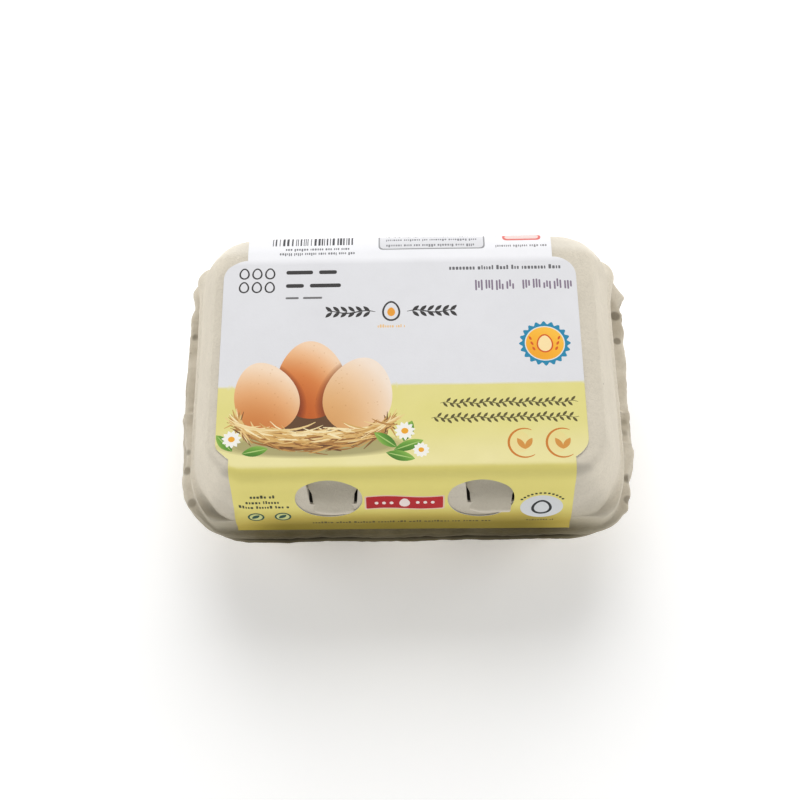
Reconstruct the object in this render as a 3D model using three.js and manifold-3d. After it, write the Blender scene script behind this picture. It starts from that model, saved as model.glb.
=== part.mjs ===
// A closed six-egg carton of grey moulded pulp, with the printed paper label that is glued over its lid.
// Millimetres, +Z up, the front with the two locks towards -Y, the hinge towards +Y.
// The origin is the middle of the box that holds the carton, on the surface it stands on.
//
// The carton is one moulding: tray, hinge and lid. It is shut, so the space inside is left solid.
import * as THREE from 'three';
import { mergeVertices } from 'three/addons/utils/BufferGeometryUtils.js';
import Module from 'manifold-3d';

const wasm = await Module();
wasm.setup();

// ---- driving dimensions -------------------------------------------------------------------------

const LENGTH = 154; // over the tray's flange
const DEPTH = 102; // front flange to hinge
const HEIGHT = 70; // feet to the label's upper face
const CELL_PITCH = 47; // one egg to the next
const COLUMNS = 3;
const ROWS = 2;

const PAPER = 0.3; // thickness of the label
const GLUE_GAP = 0.3; // clear space between the paper and the pulp
const LID_TOP = HEIGHT - PAPER - GLUE_GAP;
const RIM_Z = 43.6; // the small ledge round the foot of the lid's wall
const SEAM_Z = 33.6; // where the lid's flange meets the tray's
const SEAM = 0.5; // opening left between the two flanges

const HALF_LENGTH = LENGTH / 2;
const HALF_DEPTH = DEPTH / 2;
const OUTSIDE = 100; // a distance past every side of the carton, for cuts that run out of it

const SIDE_STEPS = 4; // spans along each straight side of an outline
const CORNER_STEPS = 7; // spans round each corner

// ---- outlines and lofts -------------------------------------------------------------------------

// A closed outline at one height, anticlockwise from above: a box with elliptical corners.
// corner and rear are the [x, y] radii of the front and of the back corners.
function outline({ z, x = 0, halfX, front, back, corner, rear = corner }) {
  const corners = [
    { cx: x + halfX - rear[0], cy: back - rear[1], r: rear, from: 0 },
    { cx: x - halfX + rear[0], cy: back - rear[1], r: rear, from: Math.PI / 2 },
    { cx: x - halfX + corner[0], cy: front + corner[1], r: corner, from: Math.PI },
    { cx: x + halfX - corner[0], cy: front + corner[1], r: corner, from: 1.5 * Math.PI },
  ];
  const points = [];
  corners.forEach(({ cx, cy, r, from }) => {
    for (let i = 0; i <= CORNER_STEPS; i += 1) {
      const turn = from + (i / CORNER_STEPS) * (Math.PI / 2);
      const next = new THREE.Vector3(cx + r[0] * Math.cos(turn), cy + r[1] * Math.sin(turn), z);
      if (i === 0 && points.length) addSide(points, next);
      points.push(next);
    }
  });
  addSide(points, points[0]);
  return points;
}

// Divides a straight side, from an outline's last point to the start of its next corner.
function addSide(points, next) {
  const last = points[points.length - 1];
  for (let i = 1; i < SIDE_STEPS; i += 1) points.push(last.clone().lerp(next, i / SIDE_STEPS));
}

// Skins a stack of outlines, top one first, and closes it with a fan at each end.
function loft(rings) {
  const count = rings[0].length;
  const points = rings.flat();
  const triangles = [];
  for (let ring = 0; ring < rings.length - 1; ring += 1) {
    for (let i = 0; i < count; i += 1) {
      const a = ring * count + i;
      const b = ring * count + ((i + 1) % count);
      triangles.push(a, a + count, b, b, a + count, b + count);
    }
  }
  const fan = (first, upwards) => {
    const middle = new THREE.Vector3();
    for (let i = 0; i < count; i += 1) {
      const a = first + i;
      const b = first + ((i + 1) % count);
      middle.addScaledVector(points[a], 1 / count);
      triangles.push(points.length, upwards ? a : b, upwards ? b : a);
    }
    points.push(middle);
  };
  fan(0, true);
  fan((rings.length - 1) * count, false);
  const geometry = new THREE.BufferGeometry().setFromPoints(points);
  geometry.setIndex(triangles);
  return geometry;
}

// ---- solids -------------------------------------------------------------------------------------

// A closed mesh as a solid that can be joined and cut.
function solid(geometry) {
  const bare = geometry.clone();
  bare.deleteAttribute('normal');
  bare.deleteAttribute('uv');
  const merged = mergeVertices(bare, 1e-4);
  return new wasm.Manifold(
    new wasm.Mesh({
      numProp: 3,
      vertProperties: Float32Array.from(merged.attributes.position.array),
      triVerts: Uint32Array.from(merged.index.array),
    }),
  );
}

// A solid as a named mesh.
function named(name, body, material) {
  const { vertProperties, triVerts } = body.getMesh();
  const geometry = new THREE.BufferGeometry();
  geometry.setAttribute('position', new THREE.BufferAttribute(Float32Array.from(vertProperties), 3));
  geometry.setIndex(new THREE.BufferAttribute(Uint32Array.from(triVerts), 1));
  geometry.computeVertexNormals();
  const mesh = new THREE.Mesh(geometry, material);
  mesh.name = name;
  return mesh;
}

function polygon(points) {
  return new THREE.Shape(points.map(([x, y]) => new THREE.Vector2(x, y)));
}

// A side view, a shape in [y, z], drawn out along X.
function fromSideView(shape, low = -OUTSIDE, high = OUTSIDE) {
  const geometry = new THREE.ExtrudeGeometry(shape, { depth: high - low, bevelEnabled: false });
  const turn = new THREE.Matrix4().set(0, 0, 1, low, 1, 0, 0, 0, 0, 1, 0, 0, 0, 0, 0, 1);
  return solid(geometry.applyMatrix4(turn));
}

// A front view, a shape in [x, z], drawn out along Y through the front half of the carton.
function fromFrontView(shape) {
  const options = { depth: OUTSIDE, bevelEnabled: false, curveSegments: 16 };
  const turn = new THREE.Matrix4().set(1, 0, 0, 0, 0, 0, -1, 0, 0, 1, 0, 0, 0, 0, 0, 1);
  return solid(new THREE.ExtrudeGeometry(shape, options).applyMatrix4(turn));
}

// A plan, a shape in [x, y], drawn out upwards.
function fromPlan(shape, low, high) {
  const options = { depth: high - low, bevelEnabled: false, curveSegments: 8 };
  return solid(new THREE.ExtrudeGeometry(shape, options).translate(0, 0, low));
}

// ---- lid, flanges and hinge ---------------------------------------------------------------------

// The lid: flat top, bevel, sloping wall, ledge and skirt.
const LID_RINGS = [
  { z: LID_TOP, halfX: 63, front: -41.1, back: 39.6, corner: [11, 11], rear: [15, 15] },
  { z: LID_TOP - 1.3, halfX: 63.9, front: -43.5, back: 44.8, corner: [13, 13], rear: [15, 15] },
  { z: LID_TOP - 2.8, halfX: 64.6, front: -44.2, back: 46.4, corner: [14, 14], rear: [14, 14] },
  { z: LID_TOP - 4.8, halfX: 65, front: -44.7, back: 47.2, corner: [15, 15], rear: [13, 13] },
  { z: RIM_Z + 5, halfX: 69.9, front: -47.7, back: 49.7, corner: [20, 20], rear: [8.5, 8.5] },
  { z: RIM_Z + 1, halfX: 71, front: -47.6, back: 49.9, corner: [21, 21], rear: [7.5, 7.5] },
  { z: RIM_Z, halfX: 72, front: -47.7, back: 50.1, corner: [10, 21], rear: [7, 7] },
  { z: RIM_Z - 1.2, halfX: 72.2, front: -47.6, back: 50.2, corner: [10, 21], rear: [7, 7] },
  { z: SEAM_Z + 2.9, halfX: 71.9, front: -46.9, back: 50.2, corner: [10, 20], rear: [7, 7] },
];

// The two flanges and the slot between them. The slot runs out at the back, where both meet in the hinge.
const FLANGE_RINGS = [
  { z: SEAM_Z + 2.2, halfX: 75.8, front: 0.7 - HALF_DEPTH, back: HALF_DEPTH - 0.2 },
  { z: SEAM_Z + SEAM / 2, halfX: 76.2, front: 0.4 - HALF_DEPTH, back: HALF_DEPTH - 0.2 },
  { z: SEAM_Z + SEAM / 2 - 0.1, halfX: 73.5, front: -48.5, back: HALF_DEPTH - 0.1 },
  { z: SEAM_Z - SEAM / 2 + 0.1, halfX: 73.5, front: -48.5, back: HALF_DEPTH - 0.1 },
  { z: SEAM_Z - SEAM / 2, halfX: HALF_LENGTH, front: -HALF_DEPTH, back: HALF_DEPTH },
  { z: SEAM_Z - 2, halfX: HALF_LENGTH - 0.3, front: 0.3 - HALF_DEPTH, back: HALF_DEPTH - 0.3 },
  { z: SEAM_Z - 2.5, halfX: 71, front: -47, back: 47, corner: [18, 18], rear: [16, 16] },
].map((ring) => ({ corner: [22, 22], rear: [8, 8], ...ring }));

function shell() {
  return solid(loft([...LID_RINGS, ...FLANGE_RINGS].map(outline)));
}

// ---- tray ---------------------------------------------------------------------------------------

// Outside of one egg cell, from under the flange to its flat foot, as [height, half width, corner radius].
const CELL = [
  [SEAM_Z - 2, 23, 15],
  [22, 21.3, 16.8],
  [12, 18.7, 17],
  [4, 15.1, 15.1],
  [1.6, 13.9, 13.9],
  [0.4, 12.2, 12.2],
  [0, 10.6, 10.6],
];

function cell(x, y) {
  const rings = CELL.map(([z, half, radius]) =>
    outline({ z, x, halfX: half, front: y - half, back: y + half, corner: [radius, radius] }));
  return solid(loft(rings));
}

// The webs that join the cells to each other below the flange.
function web() {
  const rings = [
    { z: SEAM_Z - 2, halfX: 69.5, front: -46.2, back: 46.2, corner: [18, 18] },
    { z: 26, halfX: 66, front: -43, back: 43, corner: [18, 18] },
    { z: 20, halfX: 58, front: -36, back: 36, corner: [14, 14] },
    { z: 19, halfX: 50, front: -28, back: 28, corner: [10, 10] },
  ];
  return solid(loft(rings.map(outline)));
}

function cellCentres() {
  const centres = [];
  for (let row = 0; row < ROWS; row += 1) {
    for (let column = 0; column < COLUMNS; column += 1) {
      const x = (column - (COLUMNS - 1) / 2) * CELL_PITCH;
      const y = (row - (ROWS - 1) / 2) * CELL_PITCH;
      centres.push([x, y]);
    }
  }
  return centres;
}

// ---- locks --------------------------------------------------------------------------------------

const LOCK = { xs: [-24.2, 25.4], foot: 48.5, head: 67, depth: 3 };

// A shape that narrows downwards, in front view, round the middle of a lock.
function lockFace(x, halfFoot, halfHead, foot, head) {
  return polygon([[x - halfFoot, foot], [x + halfFoot, foot], [x + halfHead, head], [x - halfHead, head]]);
}

// The hole in the lid's front wall, as deep as the tab inside it lies back.
function lockHole(x) {
  const face = fromFrontView(lockFace(x, 6.2, 8.2, LOCK.foot, LOCK.head));
  const floor = [[-47.7, LOCK.foot], [-44.3, LOCK.head]].map(([y, z]) => [y + LOCK.depth, z]);
  const front = [[-OUTSIDE, LOCK.head], [-OUTSIDE, LOCK.foot]];
  return face.intersect(fromSideView(polygon([...floor, ...front])));
}

// The tray's tab. It leans out through the hole, and its lower lip hooks over the hole's edge.
function lockTab(x) {
  const face = fromFrontView(lockFace(x, 4.6, 6.4, LOCK.foot - 0.6, LOCK.head));
  const side = [
    [-40, LOCK.foot - 0.6],
    [-48.2, LOCK.foot - 0.6],
    [-48.9, LOCK.foot],
    [-49.1, LOCK.foot + 1.2],
    [-48.3, LOCK.foot + 5],
    [-46, LOCK.foot + 12],
    [-43, LOCK.head - 1],
    [-40, LOCK.head],
  ];
  return face.intersect(fromSideView(polygon(side)));
}

// ---- label --------------------------------------------------------------------------------------

// The label: half widths of the panel and of its two flaps, and where the panel steps in to the flaps.
const LABEL = { x: -1.4, panel: 59, frontFlap: 54.5, backFlap: 51.3, front: -39.9, back: 36.1, corner: 7.5 };
const LABEL_FOOT = { front: 36.9, back: 40 };
const WINDOW = { xs: [-25.1, 23.5], z: 56.6, halfX: 10.7, halfZ: 10.1, corner: 8.2 };

// The pulp under the label seen from the side, from the foot of the front flap, over the lid, to the
// foot of the back flap, as [y, z].
function lidLine() {
  const covered = LID_RINGS.filter((ring) => ring.z > LABEL_FOOT.back);
  const front = covered.map(({ front: y, z }) => [y, z]).reverse();
  const back = covered.map(({ back: y, z }) => [y, z]);
  return [[-47, LABEL_FOOT.front], ...front, ...back, [back[back.length - 1][0] + 0.1, LABEL_FOOT.back]];
}

// A line moved sideways, to the left of the way it runs.
function movedLine(line, distance) {
  const direction = (a, b) => new THREE.Vector2(b[0] - a[0], b[1] - a[1]).normalize();
  return line.map((point, i) => {
    const before = direction(line[Math.max(i - 1, 0)], line[Math.max(i, 1)]);
    const after = direction(line[Math.min(i, line.length - 2)], line[Math.min(i + 1, line.length - 1)]);
    const along = before.clone().add(after).normalize();
    const reach = distance / along.dot(after);
    return [point[0] - along.y * reach, point[1] + along.x * reach];
  });
}

// A flat box with round corners.
function roundedBox(low, high, radius) {
  const shape = new THREE.Shape();
  shape.absarc(high.x - radius, high.y - radius, radius, 0, Math.PI / 2);
  shape.absarc(low.x + radius, high.y - radius, radius, Math.PI / 2, Math.PI);
  shape.absarc(low.x + radius, low.y + radius, radius, Math.PI, 1.5 * Math.PI);
  shape.absarc(high.x - radius, low.y + radius, radius, 1.5 * Math.PI, 2 * Math.PI);
  return shape;
}

function label() {
  const line = lidLine();
  const inner = movedLine(line, GLUE_GAP);
  const outer = movedLine(line, GLUE_GAP + PAPER);
  const section = polygon([...inner, ...outer.reverse()]);
  const sheet = (half) => fromSideView(section, LABEL.x - half, LABEL.x + half);
  const block = (front, back) =>
    fromSideView(polygon([[front, 0], [back, 0], [back, OUTSIDE], [front, OUTSIDE]]));
  const low = new THREE.Vector2(LABEL.x - LABEL.panel, LABEL.front);
  const high = new THREE.Vector2(LABEL.x + LABEL.panel, LABEL.back);
  const plan = roundedBox(low, high, LABEL.corner);
  const panel = sheet(LABEL.panel).intersect(fromPlan(plan, HEIGHT - 1, HEIGHT + 1));
  const frontFlap = sheet(LABEL.frontFlap).intersect(block(-OUTSIDE, 0));
  const backFlap = sheet(LABEL.backFlap).intersect(block(0, OUTSIDE));
  const paper = panel.add(frontFlap).add(backFlap);
  const half = new THREE.Vector2(WINDOW.halfX, WINDOW.halfZ);
  return WINDOW.xs.reduce((rest, x) => {
    const middle = new THREE.Vector2(x, WINDOW.z);
    const window = roundedBox(middle.clone().sub(half), middle.clone().add(half), WINDOW.corner);
    return rest.subtract(fromFrontView(window));
  }, paper);
}

// ---- the carton ---------------------------------------------------------------------------------

function carton() {
  let body = shell().add(web());
  cellCentres().forEach(([x, y]) => {
    body = body.add(cell(x, y));
  });
  LOCK.xs.forEach((x) => {
    body = body.subtract(lockHole(x)).add(lockTab(x));
  });
  return body;
}

const pulp = new THREE.MeshStandardMaterial({ color: 0xcfcabb, roughness: 0.95, metalness: 0 });
const paper = new THREE.MeshStandardMaterial({ color: 0xe6dfa0, roughness: 0.6, metalness: 0 });

const eggCarton = new THREE.Group();
eggCarton.add(named('pulp_carton', carton(), pulp));
eggCarton.add(named('paper_label', label(), paper));

export default eggCarton;
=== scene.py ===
"""Closed six-egg carton of moulded pulp with a printed paper label glued over its lid.

The sizes in the tables are millimetres in the part's own frame: +X to the right, +Y to the hinge,
+Z up. The meshes are written in metres.
"""

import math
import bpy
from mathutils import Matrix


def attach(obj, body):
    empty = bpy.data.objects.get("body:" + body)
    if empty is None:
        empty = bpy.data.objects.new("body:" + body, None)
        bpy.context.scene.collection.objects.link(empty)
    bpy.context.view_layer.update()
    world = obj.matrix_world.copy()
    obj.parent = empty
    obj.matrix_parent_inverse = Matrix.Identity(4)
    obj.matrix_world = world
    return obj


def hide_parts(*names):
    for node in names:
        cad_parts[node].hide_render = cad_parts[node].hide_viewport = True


bl_info = {
    "name": "Closed egg carton",
    "version": (1, 0, 0),
    "blender": (4, 5, 0),
    "location": "View3D > Sidebar > Egg carton",
    "description": "Builds a closed pulp egg carton with its lock tabs and paper label",
    "category": "Object",
}

from itertools import product

import bpy
import numpy as np
from bpy.props import FloatProperty, FloatVectorProperty, IntProperty, PointerProperty
from mathutils import Matrix, Vector
from mathutils.geometry import delaunay_2d_cdt

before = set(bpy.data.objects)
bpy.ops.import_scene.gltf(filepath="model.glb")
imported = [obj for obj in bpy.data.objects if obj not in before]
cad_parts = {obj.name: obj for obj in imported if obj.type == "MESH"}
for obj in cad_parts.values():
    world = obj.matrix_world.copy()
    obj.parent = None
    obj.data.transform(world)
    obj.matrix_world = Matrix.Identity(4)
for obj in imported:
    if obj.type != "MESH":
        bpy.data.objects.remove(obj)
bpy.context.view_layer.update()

MM = 0.001

# ---- level rings of the moulding ----------------------------------------------------------------

FRONT_STEPS = 168
SIDE_STEPS = 130
CORNER_STEPS = 40
RING_POINTS = 2 * (FRONT_STEPS + SIDE_STEPS) + 4 * CORNER_STEPS

# z, half length, front y, back y, front corner x and y radius, rear corner radius,
# share of the ragged lip, share of the gussets, share of the corner gutter
LID_LEVELS = [
    (69.5, 63.0, -41.2, 39.5, 11, 11, 14.5, 0, 0, 0),
    (69.2, 63.4, -42.3, 42.0, 12, 12, 14.5, 0, 0, 0),
    (68.6, 63.8, -43.3, 44.3, 13, 13, 14.5, 0, 0, 0),
    (67.4, 64.3, -44.3, 46.2, 14, 14, 14, 0, 0, 0),
    (65.5, 64.9, -44.9, 47.2, 15, 15, 13, 0, 0, 0),
    (61.4, 66.1, -45.2, 48.0, 16, 16, 11.5, 0, 0, 0),
    (60.2, 66.5, -45.5, 48.2, 17, 17, 11, 0, 0, 0),
    (55.0, 68.0, -46.7, 48.9, 18.5, 18.5, 8.5, 0, 0, 0),
    (49.0, 69.7, -47.6, 49.5, 20, 21, 7, 0, 0, 0),
    (46.6, 70.4, -47.8, 49.6, 19.5, 22.5, 6.5, 0, 0, 0),
    (45.2, 70.7, -47.9, 49.7, 18.5, 23, 6.5, 0, 0, 0.2),
    (44.4, 70.9, -47.9, 49.8, 18, 23, 6, 0, 0, 0.8),
    (44.2, 71.2, -47.9, 49.9, 17, 22.5, 6, 0, 0, 1),
    (43.9, 71.8, -48.0, 50.0, 12.5, 21, 6, 0, 0, 0.7),
    (43.6, 72.1, -48.0, 50.1, 10, 21, 6, 0, 0, 0),
    (42.6, 72.3, -48.0, 50.2, 10, 21, 6, 0, 0.1, 0),
    (41.0, 72.1, -47.6, 50.2, 10, 21, 6, 0, 0.3, 0),
    (38.0, 72.0, -47.2, 50.2, 10, 20, 6, 0, 0.75, 0),
    (36.6, 71.9, -47.0, 50.2, 10, 20, 6, 0.1, 1, 0),
    (35.9, 72.6, -47.6, 50.2, 12, 20, 7, 0.3, 0.9, 0),
    (35.6, 76.0, -50.1, 50.6, 21.5, 21.5, 8, 1, 0.1, 0),
    (34.6, 76.3, -50.4, 50.7, 22, 22, 8, 1, 0, 0),
    (34.0, 76.1, -50.3, 50.6, 22, 22, 8, 1, 0, 0),
    (33.9, 73.0, -48.0, 50.4, 20, 20, 8, 0.3, 0, 0),
]
LID_INSETS = (36, 28, 21, 15, 10, 6.5, 4.2, 3, 2, 1)

TRAY_LEVELS = [
    (33.3, 73.0, -47.0, 49.4, 20, 20, 8, 0.3, 0, 0),
    (33.3, 76.4, -50.4, 50.6, 26, 26, 8, 1, 0, 0),
    (33.0, 76.8, -50.8, 50.9, 26, 26, 8, 1, 0, 0),
    (32.0, 76.9, -50.9, 51.0, 26, 26, 8, 1, 0, 0),
    (31.6, 76.5, -50.5, 50.6, 26, 26, 8, 1, 0, 0),
    (31.4, 72.5, -48.5, 48.8, 22, 22, 12, 0.3, 0, 0),
    (30.8, 71.0, -47.2, 47.4, 19, 19, 16, 0, 0, 0),
    (29.6, 69.9, -46.4, 46.5, 18, 18, 16, 0, 0, 0),
    (28.4, 68.4, -45.0, 45.2, 18, 18, 16, 0, 0, 0),
    (27.4, 66.5, -43.4, 43.6, 18, 18, 16, 0, 0, 0),
    (26.8, 62.0, -39.0, 39.0, 18, 18, 16, 0, 0, 0),
]

WEB_LEVELS = [
    (31.6, 69.0, -45.8, 45.8, 18, 18, 18, 0, 0, 0),
    (28.0, 67.2, -44.2, 44.2, 18, 18, 18, 0, 0, 0),
    (26.0, 66.0, -43.0, 43.0, 18, 18, 18, 0, 0, 0),
    (23.0, 62.5, -40.0, 40.0, 16, 16, 16, 0, 0, 0),
    (20.0, 58.0, -36.0, 36.0, 14, 14, 14, 0, 0, 0),
    (19.0, 50.0, -28.0, 28.0, 10, 10, 10, 0, 0, 0),
]

# z, half width, corner radius of one cell
CELL_LEVELS = [
    (31.6, 23.0, 15.0),
    (22.0, 21.3, 16.8),
    (12.0, 18.7, 17.0),
    (7.5, 16.9, 16.6),
    (4.0, 15.1, 15.0),
    (1.6, 13.9, 13.8),
    (0.4, 12.2, 12.1),
    (0.0, 10.6, 10.5),
]

# x, y, reach and outward step of bumps and tears along the lip of the lid
LIP_MARKS = [
    (77.0, 41.5, 2.2, 1.9),
    (76.0, 47.5, 3.0, -1.0),
    (76.5, 34.0, 1.6, 1.0),
    (76.5, 28.0, 3.5, 1.2),
    (76.5, 16.0, 6.0, 1.0),
    (76.5, 4.0, 5.0, 0.5),
    (76.5, -6.5, 3.0, 0.5),
    (77.0, -20.0, 2.6, 1.1),
    (76.0, -31.0, 3.0, -1.5),
    (74.0, -41.3, 1.3, 1.3),
    (-76.0, 40.5, 3.5, -1.6),
    (-76.0, 12.0, 9.0, 0.2),
    (-76.5, -4.5, 1.9, 0.9),
    (-76.0, -20.0, 6.0, -1.1),
    (-76.0, -32.8, 2.4, -0.5),
    (69.0, -46.5, 4.5, 1.2),
    (-40.0, -50.3, 4.0, 0.25),
    (22.0, -50.3, 6.0, -0.25),
]

# x, y, reach and outward step of the gussets between skirt and lip
GUSSETS = [
    (74.0, -5.8, 0.75, 3.6),
    (74.0, -17.7, 0.75, 3.6),
    (-74.0, 33.6, 0.75, 3.6),
    (-74.0, -4.0, 0.75, 3.6),
    (-74.0, -15.8, 0.8, 1.6),
    (74.0, -22.5, 2.2, 1.2),
    (73.0, -31.5, 0.9, -0.8),
    (-74.0, -22.0, 2.8, -0.5),
]

# x, y, reach, outward step and top height of the unevenness of the four corners
CORNER_SWELLS = (
    (-71.0, 48.0, 7.0, 1.6, 46.0),
    (71.0, 48.0, 7.0, 1.9, 46.0),
    (66.0, 44.0, 8.0, 1.1, 80.0),
    (70.0, -46.0, 7.0, 0.6, 46.0),
    (-70.0, -44.0, 7.0, -0.8, 46.0),
)

# rows of LID_LEVELS that the gutter of the front corners lies between, its slope and its level edge
GUTTER_ROWS = (11, 14)
GUTTER_SLOPE = 0.62
GUTTER_EDGE = 1.25

# z, half length, front y and back y of the lid's underside, and the insets of its rings
LID_UNDERSIDE = (33.9, 73.0, -48.0, 50.3)
UNDERSIDE_INSETS = (6.0, 14.0, 26.0)

# cell size, depth and seed of each layer of the pulp's unevenness
RELIEF = ((14.0, 0.16, 11), (4.5, 0.07, 12), (1.6, 0.045, 13), (0.75, 0.02, 14))

# ---- locks and label ----------------------------------------------------------------------------

# middle of each lock and how far the right edge of its tab curls back
LOCKS = ((-23.7, 1.0), (26.7, 0.2))
LOCK_FOOT = 53.6
LOCK_HEAD = 67.2
TAB_FOOT = 47.7
# height and half the width of a tab there
TAB_HALF_WIDTHS = (
    (47.7, 48.6, 50.0, 54.0, 57.0, 58.5, 60.0, 67.0),
    (5.0, 6.0, 6.5, 6.5, 6.8, 7.7, 9.3, 9.6),
)
# height and how far a tab's face lies behind the lid's wall there
TAB_STEPS = (
    (47.5, 48.2, 49.2, 51.0, 54.0, 56.0, 58.0, 60.0, 63.0, 67.0),
    (1.0, -0.5, -1.2, -1.1, -0.65, -0.1, 0.9, 1.9, 2.9, 3.6),
)

# middle x and z, half width and half height of the label's two windows, and how square they are
WINDOWS = ((-25.1, 56.9, 10.75, 10.2), (23.5, 56.2, 10.65, 10.45))
WINDOW_POWER = 2.02

# x of the sides of the label's panel, front flap and back flap, the panel's front and back edge on
# the unfolded label, y of the front fold, and height of the ends of both flaps
PANEL_LEFT = -60.5
PANEL_RIGHT = 57.5
PANEL_FRONT = 1.2
PANEL_BACK = 77.3
PANEL_CORNER = 7.5
FLAP_LEFT = -55.9
FLAP_RIGHT = 53.1
BACK_LEFT = -52.7
BACK_RIGHT = 49.9
FOLD_Y = -41.2
LABEL_FOOT_Z = 36.3
LABEL_HEEL_Z = 40.0
LABEL_OFFSET = 0.36
LABEL_THICKNESS = 0.25

# on the unfolded label: the back fold, how far a fold reaches, the yellow field's soft edge and
# the part between the folds
BACK_FOLD = 80.7
FOLD_REACH = 7.0
FIELD_EDGE = (28.2, 29.2)
FLAT_PART = (2.0, 76.0)

# name, place in metres, width in metres and how brightly it lights a surface that faces it
LIGHTS = (
    ("left_light", (-1.1, 0.15, 0.32), 0.8, 0.39),
    ("right_light", (1.1, 0.15, 0.32), 0.8, 0.39),
    ("back_light", (0.0, 0.85, 1.0), 1.1, 0.8),
    ("front_light", (0.05, -1.2, 0.25), 0.45, 0.25),
)
LIGHT_AIM = (0.0, 0.0, 0.05)

# degrees above the floor, to the right of the front and of roll; focal length over sensor width
CAMERA_ANGLES = (61.24, 0.686, -1.437)
CAMERA_TARGET = (-1.98, -12.71, 60.0)
CAMERA_DISTANCE = 501.8
CAMERA_LENS = 1531.5 / 800.0
SENSOR_WIDTH = 36.0
FLOOR_REACH = 4000.0

WHITE = (226, 226, 229)
YELLOW = (228, 219, 138)
STRAW = (
    (104, 66, 34), (146, 98, 50), (186, 134, 70), (216, 172, 100), (238, 208, 146), (250, 232, 184),
)
INK = (52, 50, 50)
BLUE_GREEN = (30, 74, 60)
RUST = (214, 92, 26)
VINE = (92, 84, 44)
SMALL_PRINT = (132, 132, 136)

SPECK_COLOUR = (0.16, 0.13, 0.1)

# the yellow of the front flap, from its fold to its foot, darkening towards the foot as painted shade
WALL_YELLOWS_SHADED_TO_FOOT = ((228, 216, 124), (183, 162, 70), (136, 119, 36))
BROWN_EGG = ((172, 74, 16), (196, 96, 30), (216, 128, 64), (236, 178, 126), (246, 212, 178))
PALE_EGG = ((206, 142, 78), (224, 170, 110), (236, 194, 148), (242, 212, 180), (246, 228, 210))
PEACH_EGG = ((190, 104, 44), (212, 134, 70), (230, 168, 112), (240, 198, 156), (248, 222, 194))
AMBERS = ((240, 160, 24), (250, 178, 40), (252, 192, 62))
GREENS = ((50, 100, 28), (92, 148, 48), (156, 194, 88))
REDS = ((142, 14, 22), (176, 18, 28), (186, 30, 34))

# painted shade and highlights, some broken into blotches by the clouds: the material that is painted,
# the painted colour, and where it lies: x, y, z, distance from the middle (wide) or clouds, where the
# change starts and ends, and the share before and after it
PAINTED_LIGHT_AND_BLOTCHES = (
    # painted shade: the whole front side a little darker
    ("all", (0.4, 0.37, 0.31), (
        ("y", -0.0405, -0.045, 0.0, 0.3),
    )),
    # painted shade: the lower front darker towards the lip, most in the middle, mottled by the clouds
    ("all", (0.22, 0.18, 0.075), (
        ("y", -0.036, -0.049, 0.0, 1.0),
        ("z", 0.053, 0.036, 0.0, 1.0),
        ("z", 0.024, 0.031, 0.0, 1.0),
        ("wide", 0.044, 0.07, 0.87, 0.3),
        ("clouds", 0.3, 0.7, 0.92, 1.06),
    )),
    # painted shade: the front-left corner darker below its rim
    ("all", (0.3, 0.27, 0.2), (
        ("x", -0.046, -0.06, 0.0, 0.5),
        ("y", -0.034, -0.043, 0.0, 1.0),
        ("z", 0.0465, 0.0425, 0.0, 1.0),
        ("z", 0.028, 0.032, 0.0, 1.0),
    )),
    # painted shade: the upper inside of each lock hole near black
    ("moulded_pulp", (0.025, 0.022, 0.016), (
        ("y", -0.0447, -0.043, 0.0, 0.65),
        ("y", -0.03, -0.034, 0.0, 1.0),
        ("z", 0.0525, 0.0534, 0.0, 1.0),
        ("z", 0.0676, 0.067, 0.0, 1.0),
        ("wide", 0.038, 0.0365, 0.0, 1.0),
    )),
    # painted shade: the lower inside of each lock hole near black
    ("moulded_pulp", (0.025, 0.022, 0.016), (
        ("y", -0.0465, -0.046, 0.0, 0.95),
        ("y", -0.04, -0.042, 0.0, 1.0),
        ("z", 0.0527, 0.0534, 0.0, 1.0),
        ("z", 0.057, 0.0552, 0.0, 1.0),
        ("wide", 0.038, 0.0365, 0.0, 1.0),
    )),
    # painted highlight: the back of the lid lighter near its top
    ("all", (0.86, 0.81, 0.71), (
        ("y", 0.0375, 0.0415, 0.0, 0.6),
        ("z", 0.0585, 0.066, 0.0, 1.0),
    )),
    # painted shade: the front edge of the lip and the flange below it nearly black, mottled by the clouds
    ("all", (0.09, 0.075, 0.042), (
        ("y", -0.045, -0.0495, 0.0, 1.0),
        ("z", 0.0361, 0.0352, 0.0, 1.0),
        ("z", 0.024, 0.03, 0.0, 1.0),
        ("wide", 0.04, 0.066, 0.95, 0.25),
        ("clouds", 0.3, 0.7, 0.9, 1.1),
    )),
    # painted shade under the rim along the sides, broken into real-looking blotches by the clouds
    ("all", (0.4, 0.345, 0.255), (
        ("wide", 0.0675, 0.0715, 0.0, 1.0),
        ("z", 0.0433, 0.0412, 0.0, 1.0),
        ("z", 0.028, 0.032, 0.0, 1.0),
        ("clouds", 0.35, 0.68, 0.1, 0.75),
    )),
    # painted shade: a band along the top of the front wall, at its rounded edge
    ("all", (0.5, 0.46, 0.38), (
        ("y", -0.0405, -0.0425, 0.0, 1.0),
        ("z", 0.0645, 0.0672, 0.0, 0.85),
        ("wide", 0.057, 0.064, 1.0, 0.0),
    )),
    # painted shade: the recessed upper part of each lock tab darker, mottled by the clouds
    ("lock_pulp", (0.33, 0.3, 0.22), (
        ("z", 0.0496, 0.0514, 0.0, 1.0),
        ("z", 0.051, 0.061, 0.3, 0.5),
        ("clouds", 0.3, 0.7, 0.9, 1.1),
    )),
    # painted highlight: the lip of each lock tab lighter
    ("lock_pulp", (0.68, 0.62, 0.52), (
        ("z", 0.051, 0.0494, 0.0, 0.8),
    )),
)

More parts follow.
